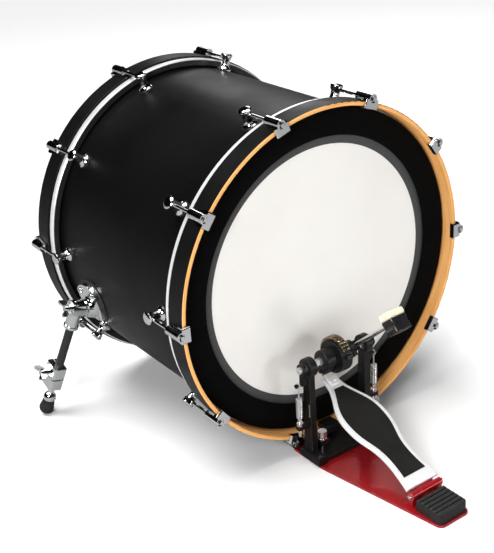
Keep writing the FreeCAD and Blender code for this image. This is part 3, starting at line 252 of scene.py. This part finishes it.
# satin black wrap: a soft sheen and faint unevenness
def makeBlackLacquer():
    look = {"color": (0.004, 0.004, 0.004), "roughness": (0.34, 0.46), "marks": 9.0, "specular": 0.10,
            "stretch": 60.0, "peel": 3.2, "bump": (0.05, 0.0005),
            "shades": ((0.0022, 0.0022, 0.0023), (0.0036, 0.0036, 0.0037))}
    material, tree, shader = newFinish("blackLacquer", look)
    place = placeGroup(tree, drumPlace)
    laid = put(tree, "CombineXYZ", {0: calc(tree, "MULTIPLY", place["Rim"], look["stretch"]),
                                    1: calc(tree, "MULTIPLY", place["Depth"], look["stretch"]), 2: 0.0})
    peel = put(tree, "TexNoise", {"Vector": laid.outputs[0], "Scale": look["peel"],
                                  "Detail": 3.0}).outputs["Fac"]
    addBump(tree, shader, peel, *look["bump"])
    paint(tree, shader, ramp(tree, peel, 0.35, 0.65), *look["shades"])
    return material


# maple hoop: plies on its edges, long grain inside, black lacquer round the outside
def makeHoopMaple():
    look = {"color": (0.8, 0.4, 0.14), "roughness": (0.34, 0.50), "marks": 24.0, "specular": 0.13,
            "stretch": (9.0, 420.0, 190.0), "grain": 1.6, "figure": 0.16, "plies": 5700.0,
            "wood": ((0.92, 0.49, 0.175), (0.78, 0.37, 0.11)), "streak": (0.60, 0.25, 0.07),
            "glueLine": (0.42, 0.18, 0.05), "lacquer": (0.004, 0.004, 0.004), "bump": (0.08, 0.0004),
            "outsideFrom": hoopRadius - 0.0014, "edgeFrom": 0.0011,
            "backEdge": hoopHigh.y - hoopLow.y - 0.0006, "soften": 0.0002}
    material, tree, shader = newFinish("hoopMaple", look)
    place = placeGroup(tree, drumPlace)
    alongRim, outwards, inwards = look["stretch"]
    laid = put(tree, "CombineXYZ", {0: calc(tree, "MULTIPLY", place["Rim"], alongRim),
                                    1: calc(tree, "MULTIPLY", place["Radius"], outwards),
                                    2: calc(tree, "MULTIPLY", place["Depth"], inwards)})
    grain = put(tree, "TexNoise", {"Vector": laid.outputs[0], "Scale": look["grain"], "Detail": 6.0,
                                   "Distortion": 0.4}).outputs["Fac"]
    figure = put(tree, "TexNoise", {"Vector": laid.outputs[0], "Scale": look["figure"],
                                    "Detail": 3.0}).outputs["Fac"]
    wood = blendColor(tree, ramp(tree, grain, 0.36, 0.66), *look["wood"])
    wood = blendColor(tree, ramp(tree, figure, 0.40, 0.70, 0.0, 0.35), wood, look["streak"])
    wave = calc(tree, "SINE", calc(tree, "MULTIPLY", place["Radius"], look["plies"]))
    onEdge = ramp(tree, place["Depth"], 0.0016, 0.0006)
    line = calc(tree, "MULTIPLY", ramp(tree, wave, 0.80, 0.98, 0.0, 0.30), onEdge)
    wood = blendColor(tree, line, wood, look["glueLine"])
    soften = look["soften"]
    outside = ramp(tree, place["Radius"], look["outsideFrom"] - soften, look["outsideFrom"] + soften)
    behind = ramp(tree, place["Depth"], look["edgeFrom"] - soften, look["edgeFrom"] + soften)
    backEdge = ramp(tree, place["Depth"], look["backEdge"] - soften, look["backEdge"] + soften)
    black = calc(tree, "MAXIMUM", calc(tree, "MULTIPLY", outside, behind), backEdge)
    paint(tree, shader, black, wood, look["lacquer"])
    addBump(tree, shader, grain, *look["bump"])
    return material


# coated drum film: a fine sprayed tooth and faint clouding
def makeWhiteFilm():
    look = {"color": (0.84, 0.82, 0.78), "roughness": (0.46, 0.58), "marks": 10.0, "specular": 0.4,
            "clouds": 5.0, "tooth": 850.0, "bump": (0.22, 0.0005),
            "shades": ((0.80, 0.785, 0.755), (0.75, 0.73, 0.695))}
    material, tree, shader = newFinish("whiteFilm", look)
    paint(tree, shader, patches(tree, look["clouds"]), *look["shades"])
    addBump(tree, shader, noise(tree, look["tooth"], 4.0), *look["bump"])
    return material


# plain black film of the front head
def makeBlackFilm():
    look = {"color": (0.008, 0.008, 0.008), "roughness": (0.20, 0.30), "marks": 12.0, "specular": 0.5,
            "tooth": 600.0, "bump": (0.08, 0.0003)}
    material, tree, shader = newFinish("blackFilm", look)
    addBump(tree, shader, noise(tree, look["tooth"], 3.0), *look["bump"])
    return material


# grey plastic collar with a fine leathery print
def makeCollarGrey():
    look = {"color": (0.050, 0.050, 0.050), "roughness": (0.42, 0.58), "marks": 30.0, "specular": 0.16,
            "cells": 520.0, "bump": (0.15, 0.0004),
            "shades": ((0.045, 0.045, 0.045), (0.064, 0.064, 0.064))}
    material, tree, shader = newFinish("collarGrey", look)
    cells = put(tree, "TexVoronoi", {"Vector": objectSpot(tree), "Scale": look["cells"]}).outputs["Distance"]
    paint(tree, shader, ramp(tree, cells, 0.1, 0.7), *look["shades"])
    addBump(tree, shader, cells, *look["bump"])
    return material


# open-cell foam: paler struts, with painted shade in the pores between them
def makeFoamBlack():
    look = {"color": (0.012, 0.012, 0.012), "roughness": (0.82, 0.95), "marks": 60.0, "specular": 0.04,
            "pores": 780.0, "bump": (0.6, 0.0008),
            "shades": ((0.0006, 0.0006, 0.0006), (0.0032, 0.0032, 0.0032))}
    material, tree, shader = newFinish("foamBlack", look)
    pores = put(tree, "TexVoronoi", {"Vector": objectSpot(tree), "Scale": look["pores"]}).outputs["Distance"]
    # painted shade: the pore hollows are darkened in the colour, the struts kept paler
    paint(tree, shader, ramp(tree, pores, 0.15, 0.65), *look["shades"])
    addBump(tree, shader, pores, *look["bump"])
    return material


# moulded rubber with a dusty bloom
def makeBlackRubber():
    look = {"color": (0.016, 0.016, 0.016), "roughness": (0.50, 0.74), "marks": 90.0, "specular": 0.4,
            "bloom": 130.0, "moulded": 1300.0, "bump": (0.25, 0.0004),
            "shades": ((0.007, 0.007, 0.007), (0.018, 0.018, 0.018))}
    material, tree, shader = newFinish("blackRubber", look)
    paint(tree, shader, patches(tree, look["bloom"]), *look["shades"])
    addBump(tree, shader, noise(tree, look["moulded"], 3.0), *look["bump"])
    return material


# candy red over bright metal flake, rubbed to the plate along its edges
def makeRedPaint():
    look = {"color": (0.42, 0.006, 0.012), "roughness": (0.26, 0.40), "marks": 26.0, "coat": 0.8,
            "coatRoughness": 0.07, "metallic": 0.55, "flake": 2600.0, "bump": (0.05, 0.0002),
            "shades": ((0.40, 0.006, 0.012), (0.62, 0.020, 0.024)), "bare": (0.55, 0.50, 0.48)}
    material, tree, shader = newFinish("redPaint", look)
    flake = put(tree, "TexVoronoi", {"Vector": objectSpot(tree), "Scale": look["flake"]}).outputs["Color"]
    sparkle = put(tree, "SeparateColor", {"Color": flake}).outputs[0]
    red = blendColor(tree, ramp(tree, sparkle, 0.55, 1.0), *look["shades"])
    worn = placeGroup(tree, edgeWear, {"Width": 0.0009, "Breakup": 220.0})["Mask"]
    paint(tree, shader, worn, red, look["bare"])
    addBump(tree, shader, sparkle, *look["bump"])
    return material


# pebbled black powder coat on castings
def makeBlackCasting():
    look = {"color": (0.010, 0.010, 0.010), "roughness": (0.34, 0.50), "marks": 60.0, "specular": 0.28,
            "pebble": 620.0, "bump": (0.28, 0.0005), "shades": ((0.0045, 0.0045, 0.0045), (0.10, 0.10, 0.10))}
    material, tree, shader = newFinish("blackCasting", look)
    pebble = noise(tree, look["pebble"], 4.0)
    worn = placeGroup(tree, edgeWear, {"Width": 0.0011, "Breakup": 190.0})["Mask"]
    paint(tree, shader, worn, *look["shades"])
    addBump(tree, shader, pebble, *look["bump"])
    return material


# footboard: satin silver with shoe scuffs
def makeBoardSilver():
    look = {"color": (0.78, 0.79, 0.80), "roughness": (0.26, 0.40), "marks": 34.0, "metallic": 0.30,
            "scuffs": (60.0, 700.0), "patches": 18.0, "bump": (0.06, 0.0003),
            "shades": ((0.86, 0.865, 0.87), (0.66, 0.66, 0.665))}
    material, tree, shader = newFinish("boardSilver", look)
    along, across = look["scuffs"]
    scuff = placeGroup(tree, hairlines, {"Along": along, "Across": across})["Height"]
    patch = patches(tree, look["patches"])
    paint(tree, shader, calc(tree, "MULTIPLY", ramp(tree, scuff, 0.56, 0.70), patch), *look["shades"])
    addBump(tree, shader, scuff, *look["bump"])
    return material


# footboard insert: dark grit sheet, polished a little where the ball of the foot rests
def makeGripDark():
    look = {"color": (0.026, 0.026, 0.023), "roughness": (0.55, 0.80), "marks": 22.0, "specular": 0.14,
            "grit": 1500.0, "rubbed": 16.0, "bump": (0.35, 0.0004),
            "shades": ((0.014, 0.014, 0.012), (0.007, 0.007, 0.006)), "polished": (0.020, 0.0195, 0.017)}
    material, tree, shader = newFinish("gripDark", look)
    grit = put(tree, "TexVoronoi", {"Vector": objectSpot(tree), "Scale": look["grit"]}).outputs["Distance"]
    worn = patches(tree, look["rubbed"])
    dark = blendColor(tree, ramp(tree, grit, 0.1, 0.6), *look["shades"])
    paint(tree, shader, calc(tree, "MULTIPLY", worn, 0.4), dark, look["polished"])
    addBump(tree, shader, grit, *look["bump"])
    return material


# pressed wool felt: tangled fibres in two sizes and a soft nap
def makeFeltCream():
    look = {"color": (0.82, 0.74, 0.56), "roughness": (0.86, 0.97), "marks": 80.0, "specular": 0.15,
            "sheen": 0.45, "sheenRoughness": 0.6, "fibres": 900.0, "tangle": 2.2, "clumps": 170.0,
            "shades": ((0.70, 0.60, 0.42), (0.88, 0.80, 0.63)), "shadow": (0.62, 0.52, 0.35),
            "bump": (0.55, 0.0007)}
    material, tree, shader = newFinish("feltCream", look)
    shader.inputs["Sheen Weight"].default_value = look["sheen"]
    shader.inputs["Sheen Roughness"].default_value = look["sheenRoughness"]
    fibre = put(tree, "TexNoise", {"Vector": objectSpot(tree), "Scale": look["fibres"], "Detail": 8.0,
                                   "Distortion": look["tangle"]}).outputs["Fac"]
    clump = noise(tree, look["clumps"], 3.0)
    tone = blendColor(tree, ramp(tree, fibre, 0.38, 0.62), *look["shades"])
    paint(tree, shader, ramp(tree, clump, 0.45, 0.70, 0.0, 0.5), tone, look["shadow"])
    addBump(tree, shader, fibre, *look["bump"])
    return material


# moulded plastic of the beater
def makeBeaterBlack():
    look = {"color": (0.009, 0.009, 0.009), "roughness": (0.26, 0.40), "marks": 70.0, "skin": 900.0,
            "bump": (0.12, 0.0003), "shades": ((0.008, 0.008, 0.008), (0.014, 0.014, 0.014))}
    material, tree, shader = newFinish("beaterBlack", look)
    skin = noise(tree, look["skin"], 3.0)
    addBump(tree, shader, skin, *look["bump"])
    paint(tree, shader, ramp(tree, skin, 0.4, 0.7), *look["shades"])
    return material


# white paint in the scale's studs
def makeScaleWhite():
    look = {"color": (0.80, 0.80, 0.78), "roughness": (0.40, 0.60), "marks": 200.0, "grain": 1500.0,
            "bump": (0.15, 0.0003)}
    material, tree, shader = newFinish("scaleWhite", look)
    addBump(tree, shader, noise(tree, look["grain"], 3.0), *look["bump"])
    return material


finishes = {
    "black_lacquer": makeBlackLacquer(), "hoop_maple": makeHoopMaple(), "white_film": makeWhiteFilm(),
    "black_film": makeBlackFilm(), "collar_grey": makeCollarGrey(), "foam_black": makeFoamBlack(),
    "bright_ring": makeBrightRing(), "chrome": chrome, "steel": steel, "brass": brass,
    "chain_gold": chainGold, "black_rubber": makeBlackRubber(), "red_paint": makeRedPaint(),
    "black_casting": makeBlackCasting(), "board_silver": makeBoardSilver(), "grip_dark": makeGripDark(),
    "felt_cream": makeFeltCream(), "beater_black": makeBeaterBlack(), "scale_white": makeScaleWhite(),
}
print("finishes made:", len(finishes))


# finishes on the CAD parts
for row in frame["record"]["subparts"]:
    for materialSlot in nodes[row["node"]].material_slots:
        materialSlot.material = finishes[row["material_slot"]]
print("CAD parts dressed")


# modelling helpers
def jointNamed(name):
    return [row for row in frame["joints"] if row["name"] == name][0]


def pickNone():
    if bpy.context.object and bpy.context.object.mode == "EDIT":
        bpy.ops.object.mode_set(mode="OBJECT")
    bpy.ops.object.select_all(action="DESELECT")


def pick(*pieces):
    pickNone()
    for piece in pieces:
        piece.select_set(True)
    bpy.context.view_layer.objects.active = pieces[0]


def named(name):
    piece = bpy.context.object
    piece.name = name
    piece.data.name = name
    return piece


def settle(piece):
    pick(piece)
    bpy.ops.object.transform_apply(location=True, rotation=True, scale=True)
    return piece


def joined(name, pieces):
    pick(*pieces)
    bpy.ops.object.join()
    piece = named(name)
    return settle(piece)


def copied(piece, name):
    twin = piece.copy()
    twin.data = piece.data.copy()
    twin.name = name
    bpy.context.scene.collection.objects.link(twin)
    return twin


def applied(piece, kind, **settings):
    pick(piece)
    modifier = piece.modifiers.new(kind.title(), kind)
    for name, value in settings.items():
        setattr(modifier, name, value)
    bpy.ops.object.modifier_apply(modifier=modifier.name)
    return piece


def selectFaces(piece, wanted):
    pick(piece)
    bpy.ops.object.mode_set(mode="EDIT")
    bpy.ops.mesh.select_mode(type="FACE")
    bpy.ops.mesh.select_all(action="DESELECT")
    mesh = bmesh.from_edit_mesh(piece.data)
    for face in mesh.faces:
        face.select_set(wanted(face))
    bmesh.update_edit_mesh(piece.data)


def finished(piece, slotName, body, smooth=40):
    pickNone()
    pick(piece)
    bpy.ops.object.shade_smooth_by_angle(angle=math.radians(smooth))
    piece.data.materials.clear()
    piece.data.materials.append(finishes[slotName])
    if body:
        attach(piece, body)
    return piece


# muffling ring: a foam band with soft shoulders, laid on the collar
foamRing = {"inner": 0.2391, "outerGap": 0.0002, "steps": 288, "sectionSteps": 20, "squareness": 5,
            "outerFall": 0.55, "ripple": 0.05, "waves": (9, 4)}


def makeFoamRing():
    low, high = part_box("muffle_foam")
    outer = high.x - foamRing["outerGap"]
    depth = high.y - low.y
    middle = (foamRing["inner"] + outer) / 2
    half = (outer - foamRing["inner"]) / 2
    level = (low.y + high.y) / 2
    pickNone()
    bpy.ops.mesh.primitive_torus_add(major_segments=foamRing["steps"], major_radius=middle,
                                     minor_segments=foamRing["sectionSteps"], minor_radius=half,
                                     location=(0, level, drumAxis), rotation=(math.pi / 2, 0, 0))
    ring = settle(named("foamRing"))
    # a round section becomes a flat band: each point is squared towards the band's faces
    power = foamRing["squareness"]
    fast, slow = foamRing["waves"]
    for point in ring.data.vertices:
        out = Vector((point.co.x, 0, point.co.z - drumAxis))
        across = (out.length - middle) / half
        lift = (point.co.y - level) / half
        size = max(abs(across), abs(lift), 1e-6)
        bulge = (1 / (abs(across / size) ** power + abs(lift / size) ** power)) ** (1 / power)
        spin = math.atan2(out.x, out.z)
        swell = 1 - foamRing["ripple"] * (0.5 + 0.5 * math.sin(fast * spin) * math.sin(slow * spin + 1))
        swell -= foamRing["outerFall"] * max(across / size * bulge * 0.5 + 0.1, 0.0)
        out = out.normalized() * (middle + half * across / size * bulge)
        point.co.x = out.x
        point.co.z = drumAxis + out.z
        point.co.y = high.y - depth / 2 + depth / 2 * lift / size * bulge * (swell if lift < 0 else 1.0)
    finished(ring, "foam_black", "drum")
    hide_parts("muffle_foam")


makeFoamRing()
print("muffling ring made")


# beater felt: a block of pressed felt with rubbed corners
beater = {"reach": 0.158, "front": 0.0185, "width": 0.0336, "length": 0.0296, "thick": 0.0120,
          "corner": 0.0035, "cornerSteps": 4, "cuts": 3, "nap": 0.00018, "napScale": 0.0022, "napLevel": 0.6}


def makeBeaterFelt():
    shaftLow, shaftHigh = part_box("pedal_beater_shaft")
    shaftX = (shaftLow.x + shaftHigh.x) / 2
    shaftAxis = jointNamed("pedal_beater_turn")["axis"]
    pickNone()
    bpy.ops.mesh.primitive_cube_add(size=1)
    felt = named("beaterFelt")
    felt.scale = (beater["width"], beater["thick"], beater["length"])
    felt.location = (0, beater["front"] - beater["thick"] / 2, beater["reach"])
    settle(felt)
    applied(felt, "BEVEL", width=beater["corner"], segments=beater["cornerSteps"], limit_method="ANGLE")
    pick(felt)
    bpy.ops.object.mode_set(mode="EDIT")
    bpy.ops.mesh.select_all(action="SELECT")
    bpy.ops.mesh.subdivide(number_cuts=beater["cuts"])
    bpy.ops.object.mode_set(mode="OBJECT")
    nap = bpy.data.textures.new("feltNap", "CLOUDS")
    nap.noise_scale = beater["napScale"]
    applied(felt, "DISPLACE", texture=nap, texture_coords="LOCAL", strength=2 * beater["nap"],
            mid_level=beater["napLevel"])
    felt.rotation_euler = (math.atan2(-shaftAxis[1], shaftAxis[2]), 0, 0)
    felt.location = (shaftX, axleSpot.y, axleSpot.z)
    settle(felt)
    finished(felt, "felt_cream", "pedal_beater", smooth=70)
    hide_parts("pedal_beater_felt")


makeBeaterFelt()
print("beater felt made")


# chain: a double strand of bushed links, inner and outer in turn
chain = {"pitchRadius": 0.0325, "teeth": 32, "firstPin": -50.625, "wrapPins": 13, "strand": 0.0043,
         "plateHeight": 0.0050, "plateThick": 0.0007, "innerPlate": 0.00195, "outerPlate": 0.0028,
         "waist": 0.0028, "bush": 0.0017, "pin": 0.0009, "pinLength": 0.0149, "runLinks": 8,
         "plateSides": 14, "bushSides": 12, "pinSides": 10, "eyeBack": 0.0034, "eyeDrop": 0.0038}


# a short rod lying across the chain
def rodAcross(x, z, radius, length, sides):
    bpy.ops.mesh.primitive_cylinder_add(vertices=sides, radius=radius, depth=length, location=(x, 0, z),
                                        rotation=(0, math.pi / 2, 0))
    return bpy.context.object


def makePlate(x, pitch):
    pickNone()
    pieces = []
    for end in (0, pitch):
        pieces.append(rodAcross(x, end, chain["plateHeight"] / 2, chain["plateThick"], chain["plateSides"]))
    bpy.ops.mesh.primitive_cube_add(size=1, location=(x, 0, pitch / 2))
    bar = bpy.context.object
    bar.scale = (chain["plateThick"] * 0.98, chain["waist"], pitch)  # a hair thinner than the plate's ends
    pieces.append(bar)
    return joined("plate", pieces)


def makeLink(name, plateX, pitch, bushes):
    pieces = []
    for strand in (-chain["strand"], chain["strand"]):
        for side in (-plateX, plateX):
            pieces.append(makePlate(strand + side, pitch))
        if bushes:
            for end in (0, pitch):
                pieces.append(rodAcross(strand, end, chain["bush"], 2 * plateX, chain["bushSides"]))
    if not bushes:
        for end in (0, pitch):
            pieces.append(rodAcross(0, end, chain["pin"], chain["pinLength"], chain["pinSides"]))
    return joined(name, pieces)


def pinOnSprocket(index):
    angle = math.radians(chain["firstPin"] + 360.0 / chain["teeth"] * index)
    return Vector((axleSpot.x, axleSpot.y + chain["pitchRadius"] * math.sin(angle),
                   axleSpot.z + chain["pitchRadius"] * math.cos(angle)))


def layLinks(name, pins):
    pitch = (pins[1] - pins[0]).length
    kinds = [makeLink(name + "Inner", chain["innerPlate"], pitch, True),
             makeLink(name + "Outer", chain["outerPlate"], pitch, False)]
    laid = []
    for index in range(len(pins) - 1):
        link = copied(kinds[index % 2], f"{name}{index}")
        heading = pins[index + 1] - pins[index]
        link.rotation_euler = (math.atan2(-heading.y, heading.z), 0, 0)
        link.location = pins[index]
        laid.append(link)
    for kind in kinds:
        bpy.data.objects.remove(kind)
    return joined(name, laid)


def makeChain():
    wrapPins = [pinOnSprocket(index) for index in range(chain["wrapPins"])]
    wrap = finished(layLinks("chainWrap", wrapPins), "chain_gold", "pedal_axle_group", smooth=30)
    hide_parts("pedal_chain_wrap")
    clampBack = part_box("pedal_toe_clamp")[1].y
    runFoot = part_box("pedal_chain_run")[0].z
    top = wrapPins[-1]
    eye = Vector((axleSpot.x, clampBack - chain["eyeBack"], runFoot - chain["eyeDrop"]))
    count = chain["runLinks"]
    runPins = [top + (eye - top) * (index / count) for index in range(count + 1)]
    run = finished(layLinks("chainRun", runPins), "chain_gold", None, smooth=30)
    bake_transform(run)
    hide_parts("pedal_chain_run")


makeChain()
print("chain made")


# return springs: close-wound coils with a loop at each end
spring = {"coil": 0.0046, "wire": 0.0012, "wireSides": 8, "turns": 15, "steps": 24, "loop": 0.0038,
          "loopSteps": 28, "pin": 0.027, "coilLow": 0.0045, "coilHigh": 0.0240, "lowLoop": 0.0010,
          "lowHook": 0.0048, "overlap": 0.001}


def makeCoil(x, y, low, high):
    pickNone()
    bpy.ops.mesh.primitive_circle_add(vertices=spring["wireSides"], radius=spring["wire"],
                                      location=(spring["coil"], 0, 0), rotation=(math.pi / 2, 0, 0))
    coil = settle(named("coil"))
    steps = spring["turns"] * spring["steps"]
    applied(coil, "SCREW", angle=2 * math.pi * spring["turns"], screw_offset=high - low - 2 * spring["wire"],
            iterations=1, steps=steps, render_steps=steps, use_merge_vertices=False)
    coil.location = (x, y, low + spring["wire"])
    return settle(coil)


def makeLoop(x, y, z):
    bpy.ops.mesh.primitive_torus_add(major_segments=spring["loopSteps"], minor_segments=spring["wireSides"],
                                     major_radius=spring["loop"], minor_radius=spring["wire"],
                                     location=(x, y, z), rotation=(0, math.pi / 2, 0))
    return bpy.context.object


def makeSpring(side):
    low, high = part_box("pedal_spring_" + side)
    x = (low.x + high.x) / 2
    pinHeight = axleSpot.z - spring["pin"]
    coilLow = low.z + spring["coilLow"]
    coilHigh = pinHeight - spring["coilHigh"]
    coil = makeCoil(x, axleSpot.y, coilLow, coilHigh)
    pieces = [coil, makeLoop(x, axleSpot.y, pinHeight), makeLoop(x, axleSpot.y, low.z + spring["lowLoop"])]
    stems = ((coilHigh - spring["overlap"], pinHeight - spring["loop"]),
             (low.z + spring["lowHook"], coilLow + spring["overlap"]))
    for bottom, top in stems:
        bpy.ops.mesh.primitive_cylinder_add(vertices=spring["wireSides"], radius=spring["wire"],
                                            depth=top - bottom, location=(x, axleSpot.y, (top + bottom) / 2))
        pieces.append(bpy.context.object)
    whole = finished(joined("spring" + side.title(), pieces), "steel", None)
    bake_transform(whole)
    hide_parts("pedal_spring_" + side)


makeSpring("left")
makeSpring("right")
print("springs made")


# rolled threads on the spring adjusters
thread = {"radius": 0.0026, "ridge": 0.00034, "ridgeSides": 5, "pitch": 0.0011, "steps": 14,
          "footGap": 0.0010, "topGap": 0.0012}


def makeThreads():
    pieces = []
    for side in ("left", "right"):
        springLow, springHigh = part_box("pedal_spring_" + side)
        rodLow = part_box("pedal_spring_adjusters")[0].z + thread["footGap"]
        rodHigh = springLow.z - thread["topGap"]
        turns = round((rodHigh - rodLow) / thread["pitch"])
        pickNone()
        bpy.ops.mesh.primitive_circle_add(vertices=thread["ridgeSides"], radius=thread["ridge"],
                                          location=(thread["radius"], 0, 0), rotation=(math.pi / 2, 0, 0))
        ridge = settle(named("ridge"))
        applied(ridge, "SCREW", angle=2 * math.pi * turns, screw_offset=rodHigh - rodLow, iterations=1,
                steps=turns * thread["steps"], render_steps=turns * thread["steps"], use_merge_vertices=False)
        ridge.location = ((springLow.x + springHigh.x) / 2, axleSpot.y, rodLow)
        pieces.append(settle(ridge))
    finished(joined("adjusterThreads", pieces), "steel", "drum", smooth=60)


makeThreads()


# tension scale: a row of small paint-filled studs down the left post
scaleDots = {"count": 6, "step": 0.0042, "radius": 0.0008, "height": 0.0006, "sides": 14, "rim": 0.00025,
             "raised": 0.00015, "lowest": 0.092, "postFace": 0.068, "postHalf": 0.010, "fromPostEdge": 0.0040}


def makeScaleDots():
    outerFace = axleSpot.x - scaleDots["postFace"]
    pieces = []
    for index in range(scaleDots["count"]):
        pickNone()
        bpy.ops.mesh.primitive_cylinder_add(
            vertices=scaleDots["sides"], radius=scaleDots["radius"], depth=scaleDots["height"],
            location=(outerFace, axleSpot.y - scaleDots["postHalf"] + scaleDots["fromPostEdge"],
                      scaleDots["lowest"] + index * scaleDots["step"]), rotation=(0, math.pi / 2, 0))
        dot = settle(named("dot"))
        selectFaces(dot, lambda face: face.normal.x < -0.9)
        bpy.ops.mesh.inset(thickness=scaleDots["rim"])
        bpy.ops.transform.translate(value=(-scaleDots["raised"], 0, 0))
        bpy.ops.object.mode_set(mode="OBJECT")
        pieces.append(dot)
    finished(joined("scaleDots", pieces), "scale_white", "drum")


makeScaleDots()
print("threads and scale made")


# floor, light and camera
floor = {"size": 60.0, "color": (0.93, 0.93, 0.93), "seenInGloss": (0.34, 0.34, 0.34),
         "roughness": 0.8, "specular": 0.1}


def makeFloor():
    pickNone()
    bpy.ops.mesh.primitive_plane_add(size=floor["size"], location=(0, 0, 0))
    ground = named("floor")
    material = bpy.data.materials.new("paleFloor")
    material.use_nodes = True
    tree = material.node_tree
    shader = tree.nodes["Principled BSDF"]
    # polished parts stay contrasty over a white floor
    paint(tree, shader, put(tree, "LightPath").outputs["Is Glossy Ray"], floor["color"], floor["seenInGloss"])
    shader.inputs["Roughness"].default_value = floor["roughness"]
    shader.inputs["Specular IOR Level"].default_value = floor["specular"]
    ground.data.materials.append(material)


lamps = {
    "key": {"place": (-2.2, -1.3, 1.7), "aim": (0.1, 0.0, 0.28), "size": 0.9, "power": 62.0},
    "back": {"place": (1.7, 2.3, 1.9), "aim": (0.0, 0.3, 0.4), "size": 1.2, "power": 14.0},
    "overhead": {"place": (0.3, -0.5, 2.8), "aim": (0.2, -0.3, 0.0), "size": 2.2, "power": 22.0},
    "front": {"place": (0.9, -1.7, 0.45), "aim": (0.03, 0.0, 0.25), "size": 0.35, "power": 0.26,
              "spread": 30.0},
}
sun = {"direction": (-12.0, -14.0, 0.0), "strength": 3.05, "angle": 40.0}
sky = {"low": 0.04, "high": 0.75, "from": 0.50, "to": 0.95, "backdrop": 1.0}


def makeLights():
    for name, lamp in lamps.items():
        pickNone()
        bpy.ops.object.light_add(type="AREA", location=lamp["place"])
        light = bpy.context.object
        light.name = name + "Light"
        light.data.size = lamp["size"]
        light.data.energy = lamp["power"]
        light.data.spread = math.radians(lamp.get("spread", 180.0))
        toward = Vector(lamp["aim"]) - Vector(lamp["place"])
        light.rotation_euler = toward.to_track_quat("-Z", "Y").to_euler()
    pickNone()
    bpy.ops.object.light_add(type="SUN", rotation=[math.radians(turn) for turn in sun["direction"]])
    soft = bpy.context.object
    soft.name = "ceilingLight"
    soft.data.energy = sun["strength"]
    soft.data.angle = math.radians(sun["angle"])
    world = bpy.data.worlds.new("studio")
    bpy.context.scene.world = world
    world.use_nodes = True
    tree = world.node_tree
    height = put(tree, "SeparateXYZ", {"Vector": put(tree, "TexCoord").outputs["Generated"]}).outputs["Z"]
    glow = ramp(tree, height, sky["from"], sky["to"], sky["low"], sky["high"])
    backdrop = calc(tree, "MULTIPLY", put(tree, "LightPath").outputs["Is Camera Ray"], sky["backdrop"])
    tree.links.new(calc(tree, "MAXIMUM", glow, backdrop), tree.nodes["Background"].inputs["Strength"])


camera = {"place": (-1.0426, -1.2477, 1.0951), "aim": (-0.1112, 0.0863, 0.3250), "roll": -3.64, "lens": 69.69}


def makeCamera():
    pickNone()
    bpy.ops.object.camera_add(location=camera["place"])
    view = bpy.context.object
    turn = (Vector(camera["aim"]) - Vector(camera["place"])).to_track_quat("-Z", "Y").to_matrix()
    view.rotation_euler = (turn @ Matrix.Rotation(math.radians(camera["roll"]), 3, "Z")).to_euler()
    view.data.lens = camera["lens"]
    bpy.context.scene.camera = view
    bpy.context.scene.view_settings.view_transform = "Standard"


makeFloor()
makeLights()
makeCamera()
print("stage, lights and camera set")
